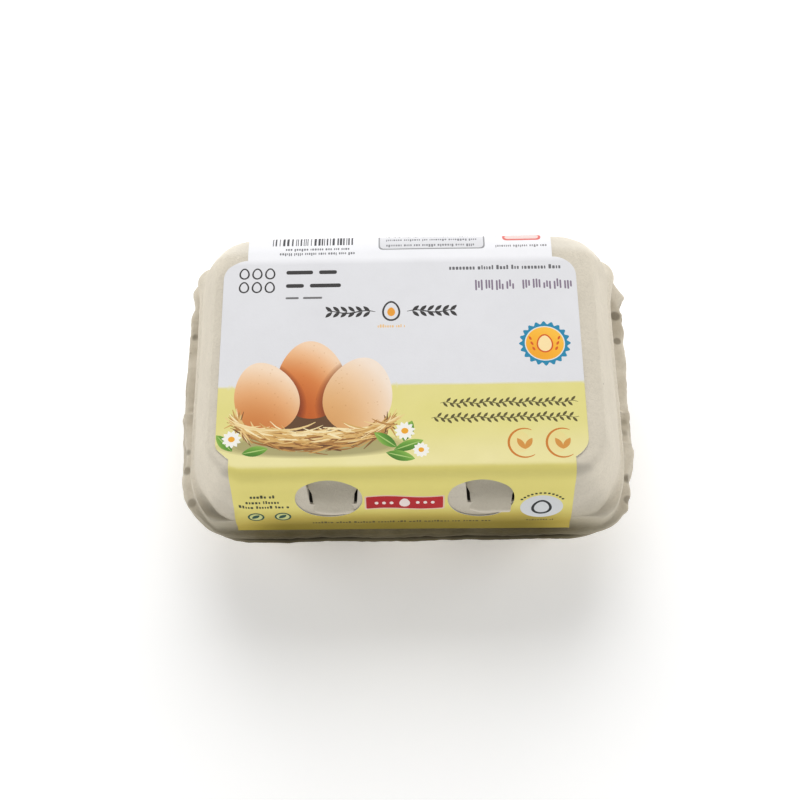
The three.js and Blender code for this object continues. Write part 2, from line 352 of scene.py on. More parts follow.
# x, y, z and reach of the painted shade in the lip's pockets and notches, and how dark each one is
POCKET_SHADES = (
    (0.0747, 0.0333, 0.036, 0.0024, 0.75),
    (0.0746, 0.0229, 0.036, 0.0018, 0.7),
    (0.0745, -0.0092, 0.0375, 0.0026, 0.6),
    (0.0745, -0.0135, 0.0375, 0.0026, 0.6),
    (0.074, -0.0307, 0.037, 0.0026, 0.8),
    (0.0735, -0.0385, 0.0355, 0.002, 0.6),
    (-0.0747, 0.0271, 0.037, 0.0022, 0.7),
    (-0.0747, -0.0185, 0.0365, 0.0018, 0.55),
    (-0.0745, -0.0255, 0.0365, 0.0022, 0.6),
    (-0.072, -0.0375, 0.0355, 0.002, 0.5),
)
POCKET_SHADE_COLOUR = (0.15, 0.125, 0.085)


def lattice_noise(points, cell, seed):
    """Smooth noise from -1 to 1 at each point, on a cubic lattice of the given cell size."""
    side = 61
    table = np.random.default_rng(seed).uniform(-1.0, 1.0, (side, side, side))
    place = points / cell + 23.7
    base = np.floor(place).astype(int)
    part = place - base
    part = part * part * (3.0 - 2.0 * part)
    total = np.zeros(points.shape[:-1])
    for corner in product((0, 1), repeat=3):
        at = (base + corner) % side
        weight = np.where(corner, part, 1.0 - part).prod(axis=-1)
        total += weight * table[at[..., 0], at[..., 1], at[..., 2]]
    return total


def smoothstep(low, high, value):
    """Goes smoothly from 0 at low to 1 at high."""
    part = np.clip((value - low) / (high - low), 0.0, 1.0)
    return part * part * (3.0 - 2.0 * part)


def ring(level):
    """One level ring, anticlockwise seen from above, from the left end of its front side."""
    z, half, front, back, corner_x, corner_y, rear = level[:7]
    turn = np.linspace(0.0, math.pi / 2, CORNER_STEPS, endpoint=False)
    along = np.linspace(0.0, 1.0, FRONT_STEPS, endpoint=False)
    up = np.linspace(0.0, 1.0, SIDE_STEPS, endpoint=False)
    inner = half - corner_x
    wide = half - rear
    low = front + corner_y
    high = back - rear
    xs = [
        -inner + 2 * inner * along,
        inner + corner_x * np.sin(turn),
        np.full(SIDE_STEPS, half),
        wide + rear * np.cos(turn),
        wide - 2 * wide * along,
        -wide - rear * np.sin(turn),
        np.full(SIDE_STEPS, -half),
        -inner - corner_x * np.cos(turn),
    ]
    ys = [
        np.full(FRONT_STEPS, front),
        low - corner_y * np.cos(turn),
        low + (high - low) * up,
        high + rear * np.sin(turn),
        np.full(FRONT_STEPS, back),
        high + rear * np.cos(turn),
        high - (high - low) * up,
        low - corner_y * np.sin(turn),
    ]
    return np.stack([np.concatenate(xs), np.concatenate(ys), np.full(RING_POINTS, z)], axis=1)


def bell(blur, reach):
    """Weights of a soft blur, which add up to 1."""
    kernel = np.exp(-0.5 * (np.arange(-reach, reach + 1) / blur) ** 2)
    return kernel / kernel.sum()


def blur_line(values, kernel):
    """Blurs a row of values and holds its ends."""
    return np.convolve(np.pad(values, len(kernel) // 2, mode="edge"), kernel, mode="valid")


def even_levels(levels, step, blur):
    """Levels spaced evenly along the profile, with its edges rounded off."""
    table = np.array(levels, float)
    slant = table[:, 1] - 0.3 * table[:, 4]
    gaps = [np.hypot(np.diff(table[:, 0]), np.diff(column)) for column in (table[:, 1], table[:, 2], slant)]
    run = np.concatenate([[0.0], np.cumsum(np.max(gaps, axis=0))])
    at = np.linspace(0.0, run[-1], int(run[-1] / step) + 1)
    kernel = bell(blur, int(3 * blur) + 1)
    return np.stack([blur_line(np.interp(at, run, column), kernel) for column in table.T], axis=1)


def blur_round(values, blur):
    """Smooths an array of rings along each ring."""
    reach = int(3 * blur) + 1
    shifts = range(-reach, reach + 1)
    return sum(weight * np.roll(values, step, axis=1) for weight, step in zip(bell(blur, reach), shifts))


def ring_normals(rings):
    """Outward normals of a stack of rings that runs from the top outwards and down."""
    along = np.roll(rings, -1, axis=1) - np.roll(rings, 1, axis=1)
    down = np.gradient(rings, axis=0)
    normals = np.cross(down, along)
    return normals / np.maximum(np.linalg.norm(normals, axis=-1, keepdims=True), 1e-9)


def level_outward(rings):
    """Level outward direction at each point of each ring."""
    along = np.roll(rings, -2, axis=1) - np.roll(rings, 2, axis=1)
    out = np.stack([along[..., 1], -along[..., 0]], axis=-1)
    return out / np.maximum(np.linalg.norm(out, axis=-1, keepdims=True), 1e-9)


def marks(rings, table):
    """Outward step at each point from a table of round marks, reached along the ring."""
    total = np.zeros(rings.shape[:2])
    for x, y, reach, step in table:
        gap = np.hypot((rings[..., 0] - x) * 0.35, rings[..., 1] - y)
        if abs(x) < 60:
            gap = np.hypot(rings[..., 0] - x, (rings[..., 1] - y) * 0.35)
        total += step * np.exp(-((gap / reach) ** 2))
    return total


def unevenness(points):
    """Height of the unevenness of moulded pulp at each point."""
    return sum(depth * lattice_noise(points, cell, seed) for cell, depth, seed in RELIEF)


def relief(rings, share, scale):
    """Moves the points along their normals by the unevenness of moulded pulp."""
    return rings + ring_normals(rings) * (scale * share * unevenness(rings))[..., None]


def covered(rings):
    """1 where the label lies on the moulding, 0 where the pulp is bare."""
    x, y, z = rings[..., 0], rings[..., 1], rings[..., 2]
    panel = np.minimum.reduce([x - PANEL_LEFT, PANEL_RIGHT - x, z - 69.0, y + 43.0, 42.0 - y])
    front = np.minimum.reduce([x - FLAP_LEFT, FLAP_RIGHT - x, z - LABEL_FOOT_Z, -39.0 - y])
    back = np.minimum.reduce([x - BACK_LEFT, BACK_RIGHT - x, z - LABEL_HEEL_Z, y - 36.0])
    return smoothstep(-1.0, 0.6, np.maximum.reduce([panel, front, back]))


def skin(rings):
    """Points and faces of a closed solid skinned over a stack of rings, with a fan at each end."""
    levels, count = rings.shape[:2]
    points = np.concatenate([rings.reshape(-1, 3), rings[:1].mean(axis=1), rings[-1:].mean(axis=1)])
    column = np.arange(count)
    after = (column + 1) % count
    faces = []
    for level in range(levels - 1):
        top, low = level * count, (level + 1) * count
        faces.append(np.stack([top + column, low + column, low + after, top + after], axis=1))
    first, last = levels * count, levels * count + 1
    bottom = (levels - 1) * count
    fans = [np.stack([np.full(count, first), column, after], axis=1)]
    fans.append(np.stack([np.full(count, last), bottom + after, bottom + column], axis=1))
    return points, np.concatenate(faces).tolist() + np.concatenate(fans).tolist()


def make_mesh(name, points, faces):
    """A mesh in metres from points in millimetres."""
    mesh = bpy.data.meshes.new(name)
    mesh.from_pydata((np.asarray(points) * MM).tolist(), [], faces)
    mesh.update()
    return mesh


def make_object(name, mesh):
    """Links a mesh to the scene as an object at the origin."""
    piece = bpy.data.objects.new(name, mesh)
    bpy.context.scene.collection.objects.link(piece)
    return piece


def solid(name, rings):
    """An object of the closed solid that is skinned over a stack of rings."""
    return make_object(name, make_mesh(name, *skin(rings)))


def bake_modifiers(piece):
    """Turns a piece with its modifiers into a plain mesh."""
    graph = bpy.context.evaluated_depsgraph_get()
    graph.update()
    mesh = bpy.data.meshes.new_from_object(piece.evaluated_get(graph))
    mesh.name = piece.name
    piece.modifiers.clear()
    old = piece.data
    piece.data = mesh
    bpy.data.meshes.remove(old)


def drop(piece):
    """Removes a helper object and its mesh."""
    mesh = piece.data
    bpy.data.objects.remove(piece)
    bpy.data.meshes.remove(mesh)


def finish_piece(piece, material, node):
    """Smooth shading with crisp cut edges, material and the frame's facts about a finished piece."""
    if material is not None:
        piece.data.materials.clear()
        piece.data.materials.append(material)
    piece.data.shade_smooth()
    piece.data.set_sharp_from_angle(angle=math.radians(55.0))
    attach(piece, "root")
    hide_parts(node)


def finish_pulp(piece, colours, name="moulded_pulp"):
    """Finishes a piece of the moulding."""
    finish_piece(piece, shared_material(name, pulp_material, colours, name), "pulp_carton")


# ---- materials ----------------------------------------------------------------------------------


def linear(colour):
    """Linear value of a display colour from 0 to 255."""
    part = np.asarray(colour, float) / 255.0
    return np.where(part <= 0.04045, part / 12.92, ((part + 0.055) / 1.055) ** 2.4)


def feed(tree, socket, value):
    """Links an output to an input, or sets the input to a value or a colour."""
    if isinstance(value, bpy.types.NodeSocket):
        tree.links.new(value, socket)
    elif socket.type == "RGBA":
        socket.default_value = (*value, 1.0)
    else:
        socket.default_value = value


def node(tree, kind, place, inputs=(), **settings):
    """Adds a node, sets its properties, and feeds its inputs by name or number."""
    made = tree.nodes.new(kind)
    made.location = place
    for name, value in settings.items():
        setattr(made, name, value)
    for name, value in dict(inputs).items():
        feed(tree, made.inputs[name], value)
    return made


def noise(tree, coords, place, scale, detail, **inputs):
    """Value of a noise texture."""
    inputs.update(Vector=coords, Scale=scale, Detail=detail)
    return node(tree, "ShaderNodeTexNoise", place, inputs).outputs["Fac"]


def math_of(tree, operation, first, second, place):
    """Result of one operation on two values."""
    return node(tree, "ShaderNodeMath", place, {0: first, 1: second}, operation=operation).outputs[0]


def spread(tree, source, limits, place, curve="LINEAR"):
    """Maps a value between two limits to 0 and 1, or to the two values that follow them."""
    names = ("From Min", "From Max", "To Min", "To Max")
    inputs = {"Value": source, **dict(zip(names, limits))}
    return node(tree, "ShaderNodeMapRange", place, inputs, interpolation_type=curve).outputs["Result"]


def mix(tree, share, first, second, place, mode="MIX"):
    """Mixes two colours; either may be a socket or a colour."""
    inputs = {0: share, 6: first, 7: second}
    return node(tree, "ShaderNodeMix", place, inputs, data_type="RGBA", blend_type=mode).outputs[2]


def bump(tree, height, strength, distance, place):
    """Normal of a surface with a fine relief."""
    inputs = {"Height": height, "Strength": strength, "Distance": distance}
    return node(tree, "ShaderNodeBump", place, inputs).outputs["Normal"]


def new_material(name):
    """A material with a Principled shader, its tree and its Object coordinates."""
    material = bpy.data.materials.new(name)
    material.use_nodes = True
    tree = material.node_tree
    return material, tree, node(tree, "ShaderNodeTexCoord", (-1700, 0)).outputs["Object"]


def dress(material, inputs):
    """Feeds the inputs of a material's shader."""
    tree = material.node_tree
    for name, value in inputs.items():
        feed(tree, tree.nodes["Principled BSDF"].inputs[name], value)
    return material


def band_share(tree, sources, ranges, left, level):
    """Product of soft ranges: each names an axis, where it starts and ends and its two values."""
    total = None
    for index, (axis, *limits) in enumerate(ranges):
        share = spread(tree, sources[axis], limits, (left, level - 200 * index), "SMOOTHSTEP")
        if total is None:
            total = share
        else:
            total = math_of(tree, "MULTIPLY", total, share, (left + 250, level - 200 * index))
    return total


def pulp_material(colours, name="moulded_pulp"):
    """Grey-beige moulded pulp: cloudy, with fibres, dark specks, painted shade and highlights, some
    blotchy, and a felted bump.
    """
    material, tree, coords = new_material(name)
    base = tuple(colours.pulp)
    darker = tuple(value * 0.86 for value in base)
    lighter = tuple(min(1.0, value * 1.07) for value in base)
    clouds = noise(tree, coords, (-1400, 300), 75.0, 3.0, Roughness=0.55)
    fibres = noise(tree, coords, (-1400, 50), 620.0, 4.0, Distortion=1.8)
    grain = noise(tree, coords, (-1400, -200), 1700.0, 3.0)
    sparse = noise(tree, coords, (-1400, -700), 130.0, 1.0)
    cells = node(tree, "ShaderNodeTexVoronoi", (-1400, -450), {"Vector": coords, "Scale": 240.0})
    dots = spread(tree, cells.outputs["Distance"], (0.12, 0.05), (-1150, -450))
    gate = spread(tree, sparse, (0.6, 0.66), (-1150, -700))
    layers = (
        (spread(tree, clouds, (0.35, 0.65), (-1150, 300)), 1.0, lighter),
        (spread(tree, fibres, (0.42, 0.72), (-1150, 50)), 0.55, darker),
        (spread(tree, grain, (0.35, 0.7), (-1150, -200)), 0.3, lighter),
        (math_of(tree, "MULTIPLY", dots, gate, (-950, -500)), 0.6, SPECK_COLOUR),
    )
    colour = base
    for index, (share, weight, paint) in enumerate(layers):
        left, level = -900 + 200 * index, 300 - 50 * index
        part = math_of(tree, "MULTIPLY", share, weight, (left, level - 250))
        colour = mix(tree, part, colour, paint, (left, level))
    split = node(tree, "ShaderNodeSeparateXYZ", (-1400, 1000), {0: coords}).outputs
    wide = math_of(tree, "ABSOLUTE", split["X"], 0.0, (-1200, 1150))
    sources = {"x": split["X"], "y": split["Y"], "z": split["Z"], "wide": wide, "clouds": clouds}
    # painted shade and highlights in soft bands
    for index, (painted_on, paint, ranges) in enumerate(PAINTED_LIGHT_AND_BLOTCHES):
        if painted_on in ("all", name):
            share = band_share(tree, sources, ranges, -950, 1200 + 1000 * index)
            colour = mix(tree, share, colour, paint, (-300 + 150 * index, 500))
    # painted shade in the lip's pockets and notches
    for index, (x, y, z, reach, depth) in enumerate(POCKET_SHADES):
        level = -1100 - 220 * index
        inputs = {0: coords, 1: (x, y, z)}
        gap = node(tree, "ShaderNodeVectorMath", (-1150, level), inputs, operation="DISTANCE")
        limits = (0.55 * reach, reach, depth, 0.0)
        share = spread(tree, gap.outputs["Value"], limits, (-900, level), "SMOOTHSTEP")
        colour = mix(tree, share, colour, POCKET_SHADE_COLOUR, (-650 + 60 * index, level))
    felt = math_of(tree, "ADD", fibres, grain, (-700, -700))
    normal = bump(tree, felt, 0.55, 0.00022, (-300, -500))
    finish = {"Base Color": colour, "Roughness": 0.92, "Specular IOR Level": 0.25, "Normal": normal}
    return dress(material, finish)


def print_material():
    """Coated paper that carries the printed colours of its attribute, with their painted shade and
    highlight.
    """
    material, tree, coords = new_material("printed_paper")
    printed = node(tree, "ShaderNodeAttribute", (-900, 200), attribute_name="print_colour")
    mottle = noise(tree, coords, (-1050, -100), 160.0, 4.0, Roughness=0.6)
    tooth = noise(tree, coords, (-1050, -350), 1500.0, 3.0)
    share = spread(tree, mottle, (0.4, 0.75), (-800, -100))
    part = math_of(tree, "MULTIPLY", share, 0.16, (-600, -100))
    greyer = (0.86, 0.85, 0.84)
    colour = mix(tree, part, printed.outputs["Color"], greyer, (-350, 150), "MULTIPLY")
    normal = bump(tree, tooth, 0.3, 0.00006, (-300, -350))
    finish = {"Base Color": colour, "Roughness": 0.6, "Specular IOR Level": 0.28, "Normal": normal}
    return dress(material, finish)


def paper_material():
    """Bare white paper of the label's cut edges and back."""
    material, tree, coords = new_material("bare_paper")
    fibres = noise(tree, coords, (-650, 0), 900.0, 3.0)
    colour = mix(tree, fibres, (0.78, 0.78, 0.77), (0.86, 0.86, 0.86), (-350, 0))
    return dress(material, {"Base Color": colour, "Roughness": 0.85})


def floor_material(colours):
    """Smooth pale paper of the studio floor."""
    material, tree, coords = new_material("studio_floor")
    drift = noise(tree, coords, (-650, 0), 2.0, 2.0)
    base = tuple(colours.floor)
    colour = mix(tree, drift, base, tuple(value * 0.99 for value in base), (-350, 0))
    glow = {"Emission Color": (1.0, 0.995, 0.98), "Emission Strength": 0.16}
    return dress(material, {"Base Color": colour, "Roughness": 0.9, **glow})


def shared_material(name, build, *values):
    """The material of that name, built the first time it is asked for."""
    return bpy.data.materials.get(name) or build(*values)


# ---- lid ----------------------------------------------------------------------------------------


def lid_levels():
    """Evenly spaced, rounded levels of the lid's outer side."""
    return even_levels(LID_LEVELS, 0.5, 0.95)


def lid_rings(scale):
    """The lid's rings from the middle of its top to its underside."""
    levels = lid_levels()
    rings = np.stack([ring(level) for level in levels])
    base, edge = (ring(LID_LEVELS[row]) for row in GUTTER_ROWS)
    ledge = np.maximum(np.hypot(*(edge - base).T[:2]) - GUTTER_EDGE, 0.0)
    ledge *= np.maximum(smoothstep(-57.0, -64.0, base[:, 0]), smoothstep(60.5, 67.0, base[:, 0]))
    rings[..., 2] -= GUTTER_SLOPE * levels[:, 9:10] * ledge
    x, y, z = rings[..., 0], rings[..., 1], rings[..., 2]
    corner = np.maximum(smoothstep(-56.0, -66.0, x), smoothstep(58.0, 68.0, x))
    squarer = 0.7 * (1.0 - corner) * smoothstep(53.0, 45.5, z) * smoothstep(43.6, 44.0, z) * (y < -30.0)
    rings[..., 1] += squarer * (levels[:, 2:3] - y)
    rings = blur_round(rings, 1.6)
    outward = level_outward(rings)
    ragged = marks(rings, LIP_MARKS)
    ragged += 0.32 * lattice_noise(rings, 5.0, 21) + 0.2 * lattice_noise(rings, 1.7, 22)
    push = levels[:, 7:8] * ragged + levels[:, 8:9] * marks(rings, GUSSETS)
    for x, y, reach, step, top_z in CORNER_SWELLS:
        gap = np.hypot(rings[..., 0] - x, rings[..., 1] - y)
        push += step * np.exp(-((gap / reach) ** 2)) * smoothstep(top_z, top_z - 2.4, rings[..., 2])
    rings[..., :2] += outward * push[..., None]
    z, half, front, back = LID_LEVELS[0][:4]
    top = []
    for inset in LID_INSETS:
        corner = max(11.0 - inset, 4.0)
        top.append(ring((z, half - inset, front + inset, back - inset, corner, corner, corner)))
    rings = np.concatenate([np.stack(top), rings])
    rings = relief(rings, 1.0 - 0.75 * covered(rings), scale)
    z, half, front, back = LID_UNDERSIDE
    low = [ring((z, half - inset, front + inset, back - inset, 16, 16, 12)) for inset in UNDERSIDE_INSETS]
    return np.concatenate([rings, np.stack(low)])


def rounded_polygon(corners, radius, steps=5):
    """Points of a polygon in a plane with its corners rounded."""
    corners = [np.array(corner, float) for corner in corners]
    out = []
    for before, corner, after in zip(corners[-1:] + corners[:-1], corners, corners[1:] + corners[:1]):
        back = (before - corner) / np.linalg.norm(before - corner)
        ahead = (after - corner) / np.linalg.norm(after - corner)
        start, end = corner + back * radius, corner + ahead * radius
        for step in np.linspace(0.0, 1.0, steps):
            out.append((1 - step) ** 2 * start + 2 * step * (1 - step) * corner + step**2 * end)
    return np.array(out)


def lock_hole(centre):
    """A wedge that cuts one lock's hole into the front wall."""
    foot, head = 7.5, 8.6
    corners = [
        (centre - foot, LOCK_FOOT),
        (centre + foot, LOCK_FOOT),
        (centre + head, LOCK_HEAD),
        (centre - head, LOCK_HEAD),
    ]
    outline = rounded_polygon(corners, 0.6)
    count = len(outline)
    points = []
    for y in (-56.0, -37.5):
        points += [(x, y, z) for x, z in outline]
    faces = [list(range(count)), list(range(2 * count - 1, count - 1, -1))]
    for index in range(count):
        after = (index + 1) % count
        faces.append([index, index + count, after + count, after])
    return make_object("lock_hole", make_mesh("lock_hole", points, faces))


def front_wall_y(z):
    """y of the lid's front wall at a height."""
    levels = lid_levels()
    return np.interp(-np.asarray(z, float), -levels[:, 0], levels[:, 2])


def lock_tab_points(centre, right_curl, seed):
    """One tab: a crowned tongue that sits back at its head and lies over the wall at its lip."""
    across, up = 40, 72
    s = np.linspace(-1.0, 1.0, across)
    z = np.linspace(TAB_FOOT, LOCK_HEAD - 0.3, up)
    half = np.interp(z, *TAB_HALF_WIDTHS)
    step = blur_line(np.interp(z, *TAB_STEPS), bell(1.8, 4))
    grid_s, grid_z = np.meshgrid(s, z)
    x = centre + grid_s * half[:, None]
    crown = np.where(grid_s > 0, right_curl, 1.0) * np.abs(grid_s) ** 3.0
    y = front_wall_y(z)[:, None] + step[:, None] + crown
    face = np.stack([x, y, grid_z], axis=-1)
    low = smoothstep(56.0, 50.0, grid_z) * np.abs(grid_s) ** 4
    face[..., 0] += 0.5 * low * lattice_noise(face, 1.3, seed + 2)
    face[..., 1] += 0.12 * lattice_noise(face, 3.5, seed) + 0.05 * lattice_noise(face, 1.1, seed + 1)
    back = face.copy()
    back[..., 1] = np.maximum(face[..., 1] + 1.2, front_wall_y(z)[:, None] + 1.5)
    return face, back


def grid_shell(face, back):
    """Points and faces of a closed plate between two equal grids."""
    rows, columns = face.shape[:2]
    total = rows * columns
    points = np.concatenate([face.reshape(-1, 3), back.reshape(-1, 3)])
    faces = []
    for row in range(rows - 1):
        for column in range(columns - 1):
            a = row * columns + column
            quad = [a, a + 1, a + columns + 1, a + columns]
            faces.append(quad)
            faces.append([index + total for index in reversed(quad)])
    border = list(range(columns))
    border += [row * columns + columns - 1 for row in range(1, rows)]
    border += [total - 1 - column for column in range(1, columns)]
    border += [row * columns for row in range(rows - 2, 0, -1)]
    for a, b in zip(border, border[1:] + border[:1]):
        faces.append([a, a + total, b + total, b])
    return points, faces


# ---- label --------------------------------------------------------------------------------------


def run_along(y, z):
    """Distance of each point of a line from its start."""
    return np.concatenate([[0.0], np.cumsum(np.hypot(np.diff(y), np.diff(z)))])


class LabelPath:
    """Side view of the label as an even path: up the front, over the panel and down the back.

    v is the distance along it from the front fold, and u is x. wide is where the rounding towards
    the corners starts, which corner_x and corner_y are the radii of.
    """

    def __init__(self):
        levels = lid_levels()
        front = levels[levels[:, 0] > LABEL_FOOT_Z][::-1]
        back = levels[levels[:, 0] > LABEL_HEEL_Z]
        flat_y = np.linspace(back[0, 3] - 0.5, front[-1, 2] + 0.5, 160)[::-1]
        flat = np.ones(160)
        low = smoothstep(50.5, 45.0, front[:, 0])
        front_x = front[:, 4] + (12.0 - front[:, 4]) * low
        front_y = front[:, 5] + (18.0 - front[:, 5]) * low
        sections = (
            (front[:, 2], flat_y, back[:, 3]),
            (front[:, 0], flat * levels[0, 0], back[:, 0]),
            (front[:, 1] - front_x, flat * 52.0, back[:, 1] - back[:, 6]),
            (front_x, flat * 11.0, back[:, 6]),
            (front_y, flat * 11.0, back[:, 6]),
        )
        columns = [np.concatenate(parts) for parts in sections]
        run = run_along(*columns[:2])
        at = np.arange(0.0, run[-1], 0.2)
        y, z, self.wide, self.corner_x, self.corner_y = (np.interp(at, run, column) for column in columns)
        kernel = np.ones(7) / 7.0
        out_y, out_z = (blur_line(slope, kernel) for slope in (-np.gradient(z), np.gradient(y)))
        size = np.hypot(out_y, out_z)
        self.y = y + LABEL_OFFSET * out_y / size
        self.z = z + LABEL_OFFSET * out_z / size
        self.out_y, self.out_z = out_y / size, out_z / size
        run = run_along(self.y, self.z)
        self.v = run - (np.interp(0.0, self.y, run) + (FOLD_Y + 0.1))

    def at(self, v, *columns):
        """Values of the path's columns at places along it."""
        return (np.interp(v, self.v, column) for column in columns)

    def front_v(self, z):
        """v of a height on the front wall."""
        front = self.v < 0.0
        return float(np.interp(z, self.z[front], self.v[front]))

    def place(self, u, v):
        """Position in the part's frame of points of the unfolded label."""
        y, z, out_y, out_z = self.at(v, self.y, self.z, self.out_y, self.out_z)
        wide, corner_x, corner_y = self.at(v, self.wide, self.corner_x, self.corner_y)
        past = np.clip(np.abs(u) - wide, 0.0, None) / corner_x
        dip = corner_y * (1.0 - np.sqrt(np.clip(1.0 - past**2, 0.0, 1.0)))
        front_share = 1.0 - smoothstep(0.0, FOLD_REACH, v)
        back_share = smoothstep(BACK_FOLD - FOLD_REACH, BACK_FOLD, v)
        y = y + dip * (front_share - back_share)
        foot = smoothstep(self.front_v(40.0), self.v[0], v)
        y = y - foot * np.interp(u, (FLAP_LEFT, FLAP_RIGHT), (0.5, 1.2))
        return np.stack([u, y, z], axis=-1), np.stack([np.zeros_like(u), out_y, out_z], axis=-1)


def inside(polygon, points):
    """Whether each point lies in a polygon."""
    x, y = points[:, 0], points[:, 1]
    hit = np.zeros(len(points), bool)
    low, high = polygon.min(axis=0), polygon.max(axis=0)
    near = np.nonzero((x >= low[0]) & (x <= high[0]) & (y >= low[1]) & (y <= high[1]))[0]
    if not len(near):
        return hit
    px, py = x[near, None], y[near, None]
    ax, ay = polygon[:, 0], polygon[:, 1]
    bx, by = np.roll(ax, -1), np.roll(ay, -1)
    crosses = (ay > py) != (by > py)
    with np.errstate(divide="ignore", invalid="ignore"):
        where = ax + (py - ay) * (bx - ax) / (by - ay)
    hit[near] = (crosses & (px < where)).sum(axis=1) % 2 == 1
    return hit


def placed(u, v, x, y, tilt):
    """Points of an outline, turned and moved to its place."""
    cosine, sine = math.cos(tilt), math.sin(tilt)
    return np.stack([u + x * cosine - y * sine, v + x * sine + y * cosine], 1)


def ellipse(u, v, ru, rv, count=40, power=2.0):
    """Outline of an ellipse, or of a squarer one with a higher power."""
    turn = np.linspace(0.0, 2 * math.pi, count, endpoint=False)
    x = ru * np.sign(np.cos(turn)) * np.abs(np.cos(turn)) ** (2.0 / power)
    y = rv * np.sign(np.sin(turn)) * np.abs(np.sin(turn)) ** (2.0 / power)
    return np.stack([u + x, v + y], 1)


def egg(u, v, ru, rv, tilt=0.0, count=72):
    """Outline of an egg with its narrow end upwards before the tilt."""
    turn = np.linspace(0.0, 2 * math.pi, count, endpoint=False)
    x = ru * np.cos(turn) * (1.0 - 0.13 * np.sin(turn) - 0.03 * np.sin(turn) ** 2)
    return placed(u, v, x, rv * np.sin(turn), tilt)


def bar(u0, v0, u1, v1, radius, steps=3):
    """Outline of a level bar with rounded ends."""
    corners = [(u0, v0), (u1, v0), (u1, v1), (u0, v1)]
    return rounded_polygon(corners, min(radius, abs(u1 - u0) / 2.01, abs(v1 - v0) / 2.01), steps)


def stroke(line, width, taper=0.35):
    """Outline of a line of the given width, thinner at its ends."""
    line = np.asarray(line, float)
    along = np.gradient(line, axis=0)
    side = np.stack([-along[:, 1], along[:, 0]], axis=1)
    side /= np.maximum(np.linalg.norm(side, axis=1, keepdims=True), 1e-9)
    t = np.linspace(0.0, 1.0, len(line))
    half = 0.5 * width * (taper + (1.0 - taper) * np.sin(math.pi * t) ** 0.6)
    side *= half[:, None]
    return np.concatenate([line + side, (line - side)[::-1]])


def leaf(u, v, length, width, tilt, count=9):
    """Outline of a pointed leaf that starts at a point."""
    t = np.linspace(0.0, 1.0, count)
    half = 0.5 * width * np.sin(math.pi * t) ** 0.8
    x = np.concatenate([t, t[::-1][1:-1]]) * length
    y = np.concatenate([half, -half[::-1][1:-1]])
    return placed(u, v, x, y, tilt)


class Print:
    """The label's printed picture as a stack of outlines, each with its colour, last one on top."""

    def __init__(self, path):
        self.path = path
        self.layers = []

    def add(self, outline, colour):
        """Adds an outline with one colour, or with a function of u, v and the colour below."""
        outline = np.asarray(outline, float)
        if outline[:, 1].min() < FLAT_PART[0] or outline[:, 1].max() > FLAT_PART[1]:
            outline = subdivide(outline, 1.2)
        self.layers.append((outline, colour))

    def vine(self, u0, u1, v, size, colour):
        """A border: a gently waving stem with leaves on both sides."""
        along = np.arange(u0, u1, 0.5)
        wave = 0.16 * size * np.sin((along - u0) * 2 * math.pi / (3.2 * size))
        self.add(stroke(np.stack([along, v + wave], axis=1), 0.16 * size, 0.5), colour)
        for index, u in enumerate(np.arange(u0 + 0.4 * size, u1 - 0.9 * size, 0.5 * size)):
            side = 1 if index % 2 else -1
            root = float(np.interp(u, along, v + wave))
            self.add(leaf(u, root, 1.05 * size, 0.42 * size, side * 0.85), colour)

    def bars(self, v, height, spans, colour):
        """A row of plain bars with rounded ends."""
        for u0, u1 in spans:
            self.add(bar(u0, v, u1, v + height, 0.5 * height, 5), colour)

    def blocks(self, u0, u1, v, height, seed, colour, flip=False):
        """Unreadable small print: rows of short plain blocks."""
        rng = np.random.default_rng(seed)
        u = u0
        while u < u1:
            for _ in range(rng.integers(3, 9)):
                wide = height * rng.uniform(0.35, 0.75)
                tall = height * (1.0 if rng.random() > 0.25 else 1.4)
                if u + wide > u1:
                    return
                low, high = (v, v + tall) if not flip else (v + height - tall, v + height)
                self.add(bar(u, low, u + wide, high, 0.15, 2), colour)
                u += wide + 0.28 * height
            u += 0.55 * height


def blend(share, stops):
    """Colour at a share of the way through a row of colours."""
    at = np.linspace(0.0, 1.0, len(stops))
    return np.stack([np.interp(share, at, channel) for channel in zip(*stops)], axis=-1)


def shaded(centre, size, tilt, stops):
    """Colour function of a rounded body lit from the upper right, from its dark to its light side."""

    def colour(u, v, below):
        du, dv = u - centre[0], v - centre[1]
        x = (du * math.cos(tilt) + dv * math.sin(tilt)) / size[0]
        y = (-du * math.sin(tilt) + dv * math.cos(tilt)) / size[1]
        edge = np.clip(x * x + y * y, 0.0, 1.0)
        return blend(np.clip(0.5 + 0.42 * y + 0.26 * x + 0.16 * edge, 0.0, 1.0), stops)

    return colour


def paper_colour_and_painted_light(path):
    """Colour of the unprinted white and the yellow field, before any motif, with painted shade towards the
    front flap's foot and a painted highlight along the back fold.
    """

    def colour(u, v):
        points = np.stack([u, v, np.zeros_like(u)], axis=-1)
        drift = lattice_noise(points, 17.0, 31)
        fine = lattice_noise(points, 6.0, 32)
        white = np.array(WHITE, float) + 2.0 * drift[..., None]
        # painted highlight: the white lighter along the back fold
        white = white + 20.0 * (smoothstep(75.5, 78.0, v) * smoothstep(90.0, 84.0, v))[..., None]
        glow = smoothstep(17.0, 1.0, v + 2.5 * drift) * 0.75 + 0.12 * fine
        top = np.array(YELLOW, float) + glow[..., None] * np.array([12.0, 11.0, 34.0])
        front = smoothstep(0.2, -1.2, v)[..., None]
        # painted shade: the front flap darker towards its foot, most in the middle
        low = smoothstep(path.front_v(53.5), path.front_v(39.0), v + 0.5 * drift)
        low = low * (1.0 - 0.5 * smoothstep(38.0, 56.0, np.abs(u + 1.4)))
        field = top * (1 - front) + blend(low, WALL_YELLOWS_SHADED_TO_FOOT) * front
        edge = v + 0.4 * drift + smoothstep(-20.0, -60.0, u) * 0.3
        share = smoothstep(FIELD_EDGE[1], FIELD_EDGE[0], edge)[..., None]
        return white * (1 - share) + field * share

    return colour


